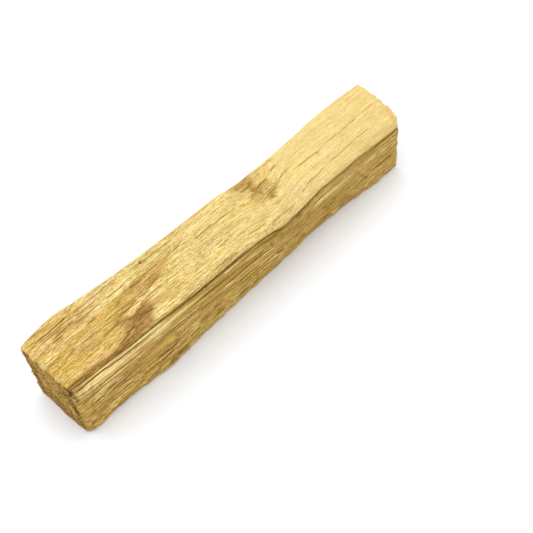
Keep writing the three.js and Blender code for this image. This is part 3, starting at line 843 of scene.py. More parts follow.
# Right face: pale streaks, ochre and pinkish wood
RIGHT_PALE = (
    Marks(Tone.LIGHT, 1, 0.8, (
        ((0.6, 14.4), (6, 14.1), (10, 14), (16, 13.6), (24, 12.9)),
    )),
    Marks(Tone.LIGHT, 0.7, 0.5, (
        ((3, 12.6), (9, 12.3)), ((5, 9.4), (12, 10.9)), ((26, 13.3), (33, 13.1)),
    )),
    Marks(Tone.LIGHT, 0.5, 1, (
        ((8.5, 13.9), (12, 13.65), (16, 13.3), (19, 13.2)), ((10.5, 13.2), (13.5, 13), (16.5, 12.8)),
    )),
    Marks(Tone.LIGHT, 0.9, 0.32, (
        ((2.2, 2.6), (4.2, 1)), ((9, 3.2), (13, 3), (16.8, 2.7)), ((5.5, 1.2), (8.5, 1)),
    ), 0.6),
    Marks(Tone.LIGHT, 0.3, 0.85, (
        ((0.8, 16.4), (6, 16.4), (8.5, 16.3)),
        ((8.5, 16.2), (10, 15.9), (14, 15.55), (20, 15.25), (24, 15)),
    )),
    Marks(Tone.LIGHT, 0.25, 0.75, (
        ((4, 12.4), (6.5, 12.4)), ((14.5, 14.4), (16, 14.2)),
    )),
    Marks(Tone.GOLD, 0.5, 0.6, (
        ((8, 13.3), (12, 12.5)), ((15.8, 12.2), (18, 12.2)), ((20, 7.5), (24, 8.1), (28, 7.9)),
        ((20, 6.2), (24, 6.8)), ((39, 2.6), (43, 2.6)), ((58, 6.5), (62, 5.5)), ((73, 4.8), (76, 5)),
        ((20, 3), (24, 2.4)), ((83, 3.4), (87, 2.4)), ((12, 1.5), (22, 1.6)),
    )),
    Marks(Tone.GOLD, 1.1, 0.35, (
        ((16, 7), (22, 7.4), (28, 7.8)), ((50, 5.2), (58, 5.8), (66, 6)),
    )),
    Marks(Tone.LIGHT, 0.5, 0.4, (
        ((71, 11.6), (75, 11.8), (80, 11.7), (84, 11.6)),
    )),
    Marks(Tone.LIGHT, 0.42, 0.75, (
        ((27, 13.4), (33, 13.2), (38, 13.3)),
    )),
    Marks(Tone.LIGHT, 0.8, 0.45, (
        ((31, 6.3), (33.5, 5.3), (34, 4)), ((59, 4.4), (61, 4.9)),
    ), 0.8),
    Marks(Tone.LIGHT, 0.24, 0.65, (
        ((49.5, 12.4), (52.5, 12.1), (55, 11.7), (56, 11.3)), ((44.5, 3.3), (48, 3.3), (51, 3.1)),
        ((88, 3.5), (90.5, 3.9)), ((89, 11.3), (91, 11.1)),
    )),
    Marks(Tone.LIGHT, 0.22, 0.45, (
        ((19, 11.2), (24, 11.5)), ((43, 14.2), (46, 14.1)), ((43, 9.6), (46.5, 8.8)),
        ((45, 4.9), (47, 4.6)), ((54, 9.6), (56.5, 9.4)), ((56, 4.1), (58.5, 4.3)),
        ((94, 13.3), (97, 13.3)), ((26.5, 3), (28.5, 2.9)), ((91, 7.4), (96, 7.2)),
        ((72, 6.6), (75, 6.8)), ((38, 13), (41, 12.7)), ((53, 5), (58, 5.6)),
    )),
    Marks(Tone.LIGHT, 0.12, 0.9, (
        ((4.3, 7), (6.3, 6.85)), ((4.3, 6.65), (6.3, 6.6)), ((5, 11), (10, 11.05)),
        ((11.9, 8.8), (13, 8.5)), ((8, 6.95), (9.2, 7.1)), ((9.5, 7.6), (12.5, 7.75)),
        ((16.2, 10.3), (18.6, 10.3)), ((27, 10.75), (34.5, 10.7)),
    )),
    Marks(Tone.GOLD, 1, 0.7, (
        ((1.8, 3.2), (3.3, 1.4), (5.2, 0.6)), ((97.2, 13), (97.4, 8)),
    ), 1),
    Marks(Tone.PINK, 1.5, 0.42, (
        ((44, 11.5), (52, 10.5), (60, 9), (66, 7.5)),
    )),
    Marks(Tone.LIGHT, 1.3, 0.3, (
        ((82, 12.2), (90, 11.5), (97, 10.8)),
    )),
    Marks(Tone.PINK, 0.7, 0.6, (
        ((1, 14.6), (4, 13.2)), ((14, 9.2), (18, 9.6), (22, 10.4)), ((40, 14.3), (44, 14.2)),
        ((60, 4.6), (61, 4.4)), ((65, 8.8), (67, 8.4)), ((80, 14), (82, 13.6)), ((53, 8.7), (57, 8.2)),
        ((88, 9.5), (90, 8)), ((33, 8.3), (40, 7.8)),
    )),
    Marks(Tone.CRACK, 0.3, 1, (
        ((0, 17.3), (0.15, 16.1)), ((0.1, 15.9), (0.3, 15)), ((0.5, 14.4), (0.65, 13.6)),
        ((0.75, 12.9), (0.85, 12.2)),
    ), 1),
)

# Right face: brown streaks, from wide and soft to narrow and dark
RIGHT_BROWN = (
    Marks(Tone.STAIN, 0.9, 0.3, (
        ((9.5, 7.2), (14, 7.4), (17, 8.2)), ((4, 4.4), (8, 5), (10, 6)),
    )),
    Marks(Tone.PINK, 1.2, 0.6, (
        ((12, 8.6), (16, 8.8), (20, 9.4)),
    )),
    Marks(Tone.STAIN, 0.45, 0.5, (
        ((12.6, 9.4), (16, 9.2), (18, 9.4), (21, 9.9), (24.5, 10.3), (28, 10.6)),
        ((53, 13.9), (57, 13.1), (60, 12.2)), ((57.5, 11.5), (61, 10.5), (65, 10)),
        ((64, 9), (70, 9.3), (74, 9.7)), ((2.9, 7.4), (6.3, 7.3)),
        ((14.2, 7.05), (15.5, 7.2), (16.7, 7.6), (18, 8.1)),
    )),
    Marks(Tone.STAIN, 0.26, 0.4, (
        ((3.6, 10.5), (10.8, 10.5)),
    )),
    Marks(Tone.STAIN, 0.26, 0.65, (
        ((8.3, 6.4), (9.7, 6.5)), ((5.9, 4.5), (8.1, 4.9), (10, 5.4)), ((20.5, 9.5), (23.2, 9.7)),
        ((20, 1), (22.5, 0.9)), ((25, 6.6), (26, 5.8), (28, 5.4)), ((27, 0.4), (30, 0.2)),
        ((36, 11.9), (41, 11.5)), ((45, 8), (48, 8.2)), ((62, 12.3), (66, 12)),
        ((90.5, 9.7), (93.8, 9.2)), ((81, 3.8), (84, 3.4), (87, 3.3)), ((78, 4.2), (82, 4)),
        ((92, 4.6), (97, 4.3)), ((94.5, 12.2), (96.5, 12)), ((83.5, 9.8), (84.8, 9.4)),
    )),
    Marks(Tone.STAIN, 0.2, 0.95, (
        ((9.7, 6.7), (10.8, 6.9), (12.6, 7.05), (14.6, 7.05), (17, 7.6)), ((4.1, 6.3), (6.5, 6.3)),
        ((3.8, 4), (6.1, 3.65)), ((4.5, 2.9), (6.6, 2.9)), ((26.3, 1.5), (29, 1.5)),
        ((28.2, 2.9), (29.5, 3)), ((30, 1.5), (33, 2), (34.7, 2.2)), ((58.5, 7.3), (62, 7.3)),
        ((59, 5.8), (60.2, 5.5)), ((66.2, 4.9), (66.8, 4.5)), ((73.5, 8), (75, 7.6), (76.5, 7.6)),
        ((72.5, 6.1), (75.5, 6)), ((73.8, 4.8), (74.2, 4.5)), ((40, 5.7), (40.4, 5.5)),
        ((91, 6.8), (93, 6.9), (94.5, 6.6), (98, 6.6)),
    )),
    Marks(Tone.STAIN, 0.13, 0.95, (
        ((11.2, 5.9), (13.4, 6.05)), ((14.7, 5.35), (17.3, 5.25)), ((25.2, 3.4), (26.5, 3.4)),
        ((27, 10.3), (34.7, 10.2)), ((34.5, 4.2), (35.2, 4.6), (37, 4.6)), ((78.5, 7), (80, 6.6)),
        ((79, 5.6), (81, 5.6)), ((80, 14.2), (81.5, 13.9)),
    )),
    Marks(Tone.STAIN, 0.3, 0.8, (
        ((84, 11.2), (84.6, 11)), ((84.8, 10.8), (85.6, 9), (86.8, 7.6), (88, 6)),
        ((56.6, 11.6), (56.9, 10)),
    ), 1),
    Marks(Tone.CRACK, 0.15, 0.5, (
        ((9.9, 6.8), (11.8, 6.95), (14.2, 7.05)), ((11.1, 6), (13.6, 6.05)), ((14.7, 5.35), (17.2, 5.3)),
        ((25.8, 1.5), (28, 1.5)), ((26.5, 0.35), (28.5, 0.3)),
    )),
    Marks(Tone.CRACK, 0.12, 0.35, (
        ((3.8, 3.8), (6.3, 3.75)), ((6, 4.7), (8.6, 5)), ((3, 7.4), (6.5, 7.4)),
        ((5.5, 10.5), (7.5, 10.5)), ((8.5, 10.6), (10.5, 10.6)), ((14, 12.5), (20, 12.2), (28, 11.9)),
        ((30, 11.5), (34, 11.2)), ((27.4, 10.3), (29, 10.3)), ((31, 10.1), (35, 9.9)),
        ((25.2, 3.4), (26.4, 3.4)),
    )),
    Marks(Tone.CRACK, 0.07, 0.7, (
        ((10, 6.55), (14.8, 7)), ((12, 5.9), (15, 6.05)), ((27.5, 10.25), (34, 10.2)),
        ((92, 6.9), (98, 6.65)), ((15.5, 5.3), (17.4, 5.2)), ((34.6, 4.45), (36.8, 4.6)),
    )),
    Marks(Tone.CRACK, 0.06, 0.35, (
        ((30, 12.4), (34, 12.2)), ((2, 9.8), (10, 10.2)), ((44, 10.4), (50, 10)), ((60, 9), (66, 8.6)),
        ((76, 9.3), (82, 9)), ((36, 7), (43, 6.7)), ((20, 4.4), (25, 4.3)),
    )),
)

# All strokes, by the face that they lie on
MARKS = {
    Face.TOP: (*TOP_STREAKS, *FLAME, *KNOT, *TOP_CRACKS),
    Face.NEAR_END: NEAR_END,
    Face.LEFT: LEFT_STREAKS,
    Face.RIGHT: (*RIGHT_PALE, *RIGHT_BROWN),
}

# The edge of the golden wood on the top: distance from the near end, and Y
GOLD_BORDER = Line((
    (19.5, -3.5), (20.5, -1.6), (22, -1.1), (24, -0.8), (26, -0.6), (28, -0.25), (31, 0.2),
    (32, 0.8), (33, 1.35), (34.5, 1.8), (35.5, 2.3), (36.5, 3), (37.5, 3.3), (40, 3.9),
    (42, 4.3), (46, 6), (50, 8), (LENGTH, 9.5),
))


def add_object(
    name: str, data: bpy.types.Mesh | bpy.types.Light | bpy.types.Camera
) -> bpy.types.Object:
    """Put a mesh, light or camera in the scene.

    Args:
        name: The object's name.
        data: What it shows.

    Returns:
        The new object, at the origin.
    """
    thing = bpy.data.objects.new(name, data)
    bpy.context.collection.objects.link(thing)
    return thing


def make_piece(
    name: str, points: Array, faces: list[Array], values: Tones, spots: Array
) -> bpy.types.Object:
    """Make a smooth mesh with its finish's attributes and bake map, and put it in the scene.

    Args:
        name: The piece's name.
        points: Vertices in millimetres, laid out as in the solid.
        faces: Groups of faces with equally many corners: one row of vertices for each face.
        values: By attribute name, one number or three for each vertex.
        spots: Places of the faces' corners on the bake map.

    Returns:
        The new object, at the origin.
    """
    mesh = bpy.data.meshes.new(name)
    mesh.vertices.add(len(points))
    mesh.vertices.foreach_set("co", ((points - MIDDLE) * METRES).astype(np.float32).ravel())
    corners = np.concatenate([group.ravel() for group in faces])
    sizes = np.repeat([group.shape[1] for group in faces], [len(group) for group in faces])
    mesh.loops.add(len(corners))
    mesh.loops.foreach_set("vertex_index", corners.astype(np.int32))
    mesh.polygons.add(len(sizes))
    mesh.polygons.foreach_set("loop_start", (np.cumsum(sizes) - sizes).astype(np.int32))
    mesh.polygons.foreach_set("use_smooth", np.ones(len(sizes), bool))
    mesh.update(calc_edges=True)
    for key, value in values.items():
        vector = value.size == points.size
        layer = mesh.attributes.new(key, "FLOAT_VECTOR" if vector else "FLOAT", "POINT")
        layer.data.foreach_set("vector" if vector else "value", value.astype(np.float32).ravel())
    bake = mesh.uv_layers.new(name="OFBake")
    bake.data.foreach_set("uv", spots.astype(np.float32).ravel())
    mesh.validate()
    return add_object(name, mesh)


@dataclass
class StickSurface:
    """The finished wood surface as one closed mesh, with the attributes of its finish.

    A band is the two places between which a smooth step rises. A wave has its turns and
    its start. The belly and the corners have a place, a width or an end, and a depth.
    """

    stick: Stick = field(default_factory=Stick)
    relief: Relief = field(default_factory=Relief)
    flow: Flow = field(default_factory=Flow)
    near_lean: float = 1.7
    near_lean_power: float = 1.3
    near_belly: Triple = (-3.0, 3.0, 0.3)
    near_broken: float = 0.07
    near_waves: tuple[Pair, Pair] = ((1.9, 0.8), (1.3, 0.4))
    near_corner: Triple = (-8.4, 0.7, 1.1)
    near_corner_height: float = 1.6
    near_overhang: float = 0.2
    near_wear: float = 0.5
    near_rim: float = 0.9
    near_dark_rim: float = 0.5
    near_torn: float = 0.6
    near_seed: int = 11
    far_left: float = LEFT_SIDE - 0.7
    far_wear: float = 0.25
    far_rim: float = 0.7
    far_dark_rim: float = 0.3
    far_torn: float = 0.5
    far_seed: int = 15
    far_skew: float = 0.06
    far_lean: float = 0.0024
    far_corner: Triple = (5.2, 7.0, 0.5)
    scallop_depth: float = 0.32
    scallop_width: float = 2.5
    scallop_bend: Pair = (0.6, 0.9)
    cap_power: float = 1.15
    end_band: Pair = (0.9, 0.995)
    end_reach: float = 14.0
    rim_tone: float = 0.5
    fuzz_size: float = 0.16
    fuzz_slant: float = 0.26
    fuzz_layers: tuple[Triple, ...] = ((1.0, 2.2, 0.45), (0.6, 0.5, 0.3))
    fuzz_lumps: Pair = (0.5, 1.4)
    seam_calm: float = 0.85
    seam_spread: float = 0.36
    seam_inside: float = 0.3
    seam_edge_band: Pair = (4.0, 5.0)
    seam_tones: Triple = (0.25, 0.85, 0.45)
    seam_start: Pair = (8.0, 17.0)
    seam_end: Pair = (36.0, 50.0)
    rib_crack_spread: float = 0.17
    rib_crack_tone: float = 0.82
    rib_crack_open: float = 0.3
    hole_spread: float = 0.24
    border_wave: float = 0.25
    border_cell: Pair = (2.5, 0.6)
    border_seed: int = 21
    border_band: Pair = (-0.2, 0.25)
    gold_front: Pair = (18.0, 20.5)
    gold_fade: Pair = (40.0, 50.0)
    pale_start: Pair = (12.0, 18.0)
    pale_side: Pair = (2.8, 3.8)
    seam_margin: float = 0.1
    top_floor: float = HEIGHT - 5
    top_band: Pair = (HEIGHT - 4.5, HEIGHT - 3.5)
    right_band: Pair = (3.0, 4.5)
    left_band: Pair = (5.0, 6.5)
    top_plane: float = 17.2
    right_plane: float = -7.3
    slant_x: Pair = (0.55, 0.0073)
    slant_z: float = 1.76
    map_scale: float = 1 / 104.0
    map_body: Pair = (0.01, 0.015)
    map_near: Pair = (0.9, 0.1)
    map_far: Pair = (0.9, 0.5)
    name: str = "palo_santo_wood"

    def near_end(self, y: Array, z: Array) -> Array:
        """Return how far the near end departs from a square cut.

        The cut leans in towards the floor by a power of the depth below the top, with a
        belly on its lower right, and its bottom right corner is worn away.

        Args:
            y, z: Places on the end.

        Returns:
            Distance towards the far end.
        """
        down = 1 - np.maximum(z / HEIGHT, 0) ** self.near_lean_power
        belly_y, belly_width, belly_depth = self.near_belly
        belly = belly_depth * down * bell(y - belly_y, belly_width)
        (turns_y, start_y), (turns_z, start_z) = self.near_waves
        broken = self.near_broken * np.sin(turns_y * y + start_y) * np.sin(turns_z * z + start_z)
        corner_y, corner_width, corner_depth = self.near_corner
        corner = corner_depth * bell(y - corner_y, corner_width)
        corner = corner * bell(z, self.near_corner_height)
        return self.near_lean * down - belly + broken + corner - self.near_overhang

    def far_end(self, y: Array, z: Array) -> Array:
        """Return how far the far end departs from a square cut.

        The cut slants back to the right, its right corner is broken, and its edge is
        scalloped: the scallops are the absolute value of a bent sine wave across it.

        Args:
            y, z: Places on the end.

        Returns:
            Distance away from the near end.
        """
        bend, turns = self.scallop_bend
        bent = np.pi * y / self.scallop_width + bend * np.sin(turns * y)
        scallops = self.scallop_depth * (np.abs(np.sin(bent)) - 1)
        start, end, depth = self.far_corner
        corner = depth * step(-y, start, end)
        return scallops - (self.far_left - y) * (self.far_skew + self.far_lean * z) - corner

    def wear(self, distance: Array, radius: float) -> Array:
        """Return how far a rounded rim is drawn in: a quarter circle of the radius."""
        inside = np.maximum(radius - distance, 0)
        return radius - np.sqrt(radius * radius - inside * inside)

    def fuzz(self, y: Array, z: Array, seed: int) -> Array:
        """Return the broken fibres of an end.

        They are layers of noise drawn out along the saw's path, and round lumps.

        Args:
            y, z: Places on the end.
            seed: Picks the noise of the first layer; the others follow it.

        Returns:
            Height out of the end, in units of the fuzz's size.
        """
        along = y + self.fuzz_slant * z
        across = z - self.fuzz_slant * y
        rough = 0 * y
        for layer, (size, length, width) in enumerate(self.fuzz_layers, seed):
            rough = rough + size * noise(along / length, across / width, 0 * y, layer)
        size, cell = self.fuzz_lumps
        lumps = noise(y / cell, z / cell, 0 * y, seed + len(self.fuzz_layers))
        return rough + size * lumps

    def rings(self) -> tuple[Array, Array]:
        """Return each ring's distance from the near end and its size.

        Returns:
            The distances, and the shares of the full section: 1 on the body, and falling
            to a small share towards the middle of each end.
        """
        body = self.stick.stations()
        t = (np.arange(self.stick.cap_rings) + 1) / (self.stick.cap_rings + 1)
        shrink = 1 - t ** self.cap_power
        x = np.concatenate([0 * t, body, 0 * t + LENGTH])
        share = np.concatenate([shrink[::-1], np.ones_like(body), shrink])
        return x, share

    def surface(self) -> tuple[Array, Array, Tones]:
        """Work out every ring of the surface.

        A place on the plain section moves along the section's normal by the relief, is
        drawn in at the worn rims, shrinks towards the middle on the two ends, and moves
        along X by the form of the end that it is near.

        Returns:
            Places as rings by columns by three, grain coordinates of the same shape, and
            the finish's values by name.
        """
        x, share = self.rings()
        section = self.stick.section(x)
        normal = np.roll(section, 1, 1) - np.roll(section, -1, 1)
        normal = np.stack([normal[..., 1], -normal[..., 0]], -1)
        normal /= np.maximum(np.linalg.norm(normal, axis=-1, keepdims=True), 1e-9)
        y, z = section[..., 0], section[..., 1]
        along = x[:, None] + 0 * y
        grain = self.flow.grain(along, y, z)
        tones = self.tones(along, y, z)
        cut = self.relief.crack_depth * tones["crack"]
        fine = (1 - self.seam_calm * tones["seam"]) * (self.relief.fine(grain, y, z) - cut)
        height = self.relief.large(along, y, z) + fine
        height = height - self.wear(along, self.near_wear) - self.wear(LENGTH - along, self.far_wear)
        y = y + normal[..., 0] * height
        z = z + normal[..., 1] * height
        middle_y = ((self.stick.left_edge.at(x) + self.stick.right_foot.at(x)) / 2)[:, None]
        y = middle_y + (y - middle_y) * share[:, None]
        z = HEIGHT / 2 + (z - HEIGHT / 2) * share[:, None]
        places = np.stack([along + self.end_shift(along, y, z), y, np.maximum(z, 0)], -1)
        self.mark_ends(tones, along, y, z, share)
        capped = self.flow.grain(places[..., 0], y, z)
        grain = np.where(share[:, None, None] < 1, capped, grain)
        return places, grain, tones

    def end_shift(self, x: Array, y: Array, z: Array) -> Array:
        """Return how far each place moves along X by the form of the ends.

        The form of an end fades out over a stretch of the body, and its torn fibres over
        the rim.

        Args:
            x, y, z: Places on the stick with its relief.

        Returns:
            Distance towards the far end.
        """
        near = 1 - step(x, 0, self.end_reach)
        far = step(x, LENGTH - self.end_reach, LENGTH)
        shift = near * self.near_end(y, z) + far * self.far_end(y, z)
        at_near = self.near_torn * (1 - step(x, 0, self.near_rim))
        at_far = self.far_torn * step(x, LENGTH - self.far_rim, LENGTH)
        torn = at_near * self.fuzz(y, z, self.near_seed) + at_far * self.fuzz(y, z, self.far_seed)
        return shift + self.fuzz_size * torn

    def mark_ends(self, tones: Tones, x: Array, y: Array, z: Array, share: Array) -> None:
        """Add the ends to the finish's values, and the strokes of the near end.

        The other strokes stop at the ends, and the rims are partly torn like the ends.

        Args:
            tones: The finish's values, which are changed.
            x, y, z: Places on the stick with its relief.
            share: The size of each ring.
        """
        on_end = (1 - step(share, *self.end_band))[:, None] + 0 * y
        near_rim = (1 - step(x, 0, self.near_rim)) * step(self.near_dark_rim - x, 0, self.near_dark_rim)
        far_rim = step(x, LENGTH - self.far_rim, LENGTH)
        far_rim = far_rim * step(x, LENGTH - self.far_dark_rim, LENGTH)
        tones["end"] = np.maximum(on_end, self.rim_tone * (near_rim + far_rim))
        for tone in Tone:
            tones[tone.value] = tones[tone.value] * (1 - on_end)
        self.draw(tones, Face.NEAR_END, on_end * (x < MIDDLE[0]), y, z)

    def draw(self, tones: Tones, face: Face, share: Array, x: Array, across: Array) -> None:
        """Add the strokes of a face to the finish's values, where they cover more.

        Args:
            tones: The finish's values, which are changed.
            face: The face.
            share: 1 on the face and 0 elsewhere.
            x, across: Places as the face's paths give them.
        """
        for marks in MARKS[face]:
            value = share * marks.at(x, across)
            tones[marks.tone.value] = np.maximum(tones[marks.tone.value], value)

    def tones(self, x: Array, y: Array, z: Array) -> Tones:
        """Return the finish's values over the body of the stick.

        Strokes on the top are placed on the level plane through its height, and strokes
        on the right face on the upright plane through its side. A place on the rounded
        surface reaches them along a slanted line, so its distance from the near end
        shifts by a share that grows along the stick. Strokes on the left side are
        placed by distance and height.

        Args:
            x, y, z: Places on the plain section.

        Returns:
            Values by name: one for each tone, golden, seam and side.
        """
        seam_z = self.stick.seam_height.at(x[:, 0])[:, None]
        above = (z > seam_z - self.seam_margin) & (z > self.top_floor)
        on_top = above * step(z, *self.top_band)
        on_right = ~above * step(-y, *self.right_band)
        on_left = step(y, *self.left_band) * (1 - on_top)
        slant = self.slant_x[0] + self.slant_x[1] * x
        rise = z - self.top_plane
        slide = self.right_plane - y
        top_x, top_y = x + slant / self.slant_z * rise, y + rise / self.slant_z
        tones = {tone.value: np.zeros(x.shape) for tone in Tone}
        self.draw(tones, Face.TOP, on_top, top_x, top_y)
        self.draw(tones, Face.RIGHT, on_right, x + slant * slide, z - self.slant_z * slide)
        self.draw(tones, Face.LEFT, on_left, x, z)
        hole = np.hypot(x - self.relief.worm_hole[0], y - self.relief.worm_hole[1])
        tones["crack"] = np.maximum(tones["crack"], on_top * bell(hole, self.hole_spread))
        tones["golden"] = self.golden(x, y, top_x, top_y, on_top)
        tones["seam"] = self.seam(x, y, z)
        tones["side"] = 1 - on_top
        return tones

    def golden(self, x: Array, y: Array, top_x: Array, top_y: Array, on_top: Array) -> Array:
        """Return where the top is golden: before the flame, and left of a ragged border.

        The border's edge is moved by noise, the golden wood fades out along the grain,
        and a pale stretch lies along the left edge.

        Args:
            x, y: Places on the plain section.
            top_x, top_y: Their places on the level plane through the top.
            on_top: 1 on the top and 0 elsewhere.

        Returns:
            Values from 0 to 1.
        """
        length, width = self.border_cell
        wave = self.border_wave * noise(x / length, y / width, 0 * x, self.border_seed)
        border = GOLD_BORDER.at(x[:, 0])[:, None] + wave
        gold = step(top_y - border, *self.border_band) * (1 - step(x, *self.gold_fade))
        gold = np.maximum(gold, 1 - step(top_x, *self.gold_front)) * on_top
        return gold * (1 - step(x, *self.pale_start) * step(top_y, *self.pale_side))

    def seam(self, x: Array, y: Array, z: Array) -> Array:
        """Return how dark the seam and the rib crack are.

        Each is a bell of the distance to its line, wider inside the wood. The seam is
        darkest along the middle of the near half, and the rib crack where it is open.

        Args:
            x, y, z: Places on the plain section.

        Returns:
            Values from 0 to about 1.
        """
        seam_y = self.stick.seam_side.at(x[:, 0])[:, None]
        seam_z = self.stick.seam_height.at(x[:, 0])[:, None]
        rib = self.stick.rib_width.at(x[:, 0])[:, None]
        rib_open = step(self.stick.rib_crack_depth.at(x[:, 0]), 0, self.rib_crack_open)[:, None]
        on_edge = step(-y, *self.seam_edge_band)
        inside = np.where(y > seam_y, self.seam_inside, 1.0) * (y - seam_y)
        least, rise, fall = self.seam_tones
        dark = least + rise * step(x, *self.seam_start) - fall * step(x, *self.seam_end)
        seam = on_edge * dark * bell(np.hypot(inside, z - seam_z), self.seam_spread)
        rib_gap = np.hypot(inside + self.stick.rib_slope * rib, z - seam_z + rib)
        crack = self.rib_crack_tone * on_edge * rib_open * bell(rib_gap, self.rib_crack_spread)
        return np.maximum(seam, crack)

    def on_map(self, right: Array, up: Array, corner: Pair) -> Array:
        """Return places on the bake map, from lengths to the right of and above a corner."""
        return np.stack([corner[0] + right * self.map_scale, corner[1] + up * self.map_scale], -1)

    def bake_map(self, places: Array) -> Array:
        """Return the corners' places on the bake map, for the quads and then the fans.

        The body is rolled out flat, with X up the map and the way round the section
        across it. The two ends lie beside it, seen straight on.

        Args:
            places: Rings by columns by three.

        Returns:
            Array of loops by two.
        """
        rows, columns = places.shape[:2]
        cap = self.stick.cap_rings
        middle = places[rows // 2]
        ring = np.linalg.norm(np.diff(middle, axis=0, append=middle[:1]), axis=1)
        round_way = np.concatenate(([0.0], np.cumsum(ring)))
        row, column = np.meshgrid(np.arange(rows - 1), np.arange(columns), indexing="ij")
        quads = []
        for down, over in ((0, 0), (1, 0), (1, 1), (0, 1)):
            x, y, z = np.moveaxis(places[row + down, (column + over) % columns], -1, 0)
            spot = self.on_map(round_way[column + over], x, self.map_body)
            spot = np.where((row < cap)[..., None], self.on_map(y, z, self.map_near), spot)
            on_far = (row >= rows - 1 - cap)[..., None]
            quads.append(np.where(on_far, self.on_map(y, z, self.map_far), spot))
        near = self.on_map(places[0, :, 1], places[0, :, 2], self.map_near)
        far = self.on_map(places[-1, :, 1], places[-1, :, 2], self.map_far)
        hub = np.ones((columns, 1))
        near_fan = [hub * near.mean(0), near, np.roll(near, -1, 0)]
        far_fan = [hub * far.mean(0), np.roll(far, -1, 0), far]
        pieces = [np.stack(corners, -2).reshape(-1, 2) for corners in (quads, near_fan, far_fan)]
        return np.concatenate(pieces)

    def build(self, places: Array, grain: Array, tones: Tones) -> bpy.types.Object:
        """Make the mesh: quads between rings, and a fan round the middle of each end.

        The middle of an end takes its values from a corner of the smallest ring.

        Args:
            places, grain, tones: What surface() returned.

        Returns:
            The new object.
        """
        rows, columns = places.shape[:2]
        row, column = np.meshgrid(np.arange(rows - 1), np.arange(columns), indexing="ij")
        a = row * columns + column
        b = row * columns + (column + 1) % columns
        quads = np.stack([a, a + columns, b + columns, b], -1).reshape(-1, 4)
        hub = np.full(columns, rows * columns)
        k = np.arange(columns)
        after = (k + 1) % columns
        last = (rows - 1) * columns
        near_fan = np.stack([hub, k, after], -1)
        far_fan = np.stack([hub + 1, last + after, last + k], -1)
        hubs = np.stack([places[0].mean(0), places[-1].mean(0)])
        points = np.concatenate([places.reshape(-1, 3), hubs])
        values = {}
        for name, value in {"grain": grain, **tones}.items():
            value = value.reshape(rows * columns, -1)
            values[name] = np.concatenate([value, value[:1], value[-1:]])
        faces = [quads, near_fan, far_fan]
        return make_piece(self.name, points, faces, values, self.bake_map(places))


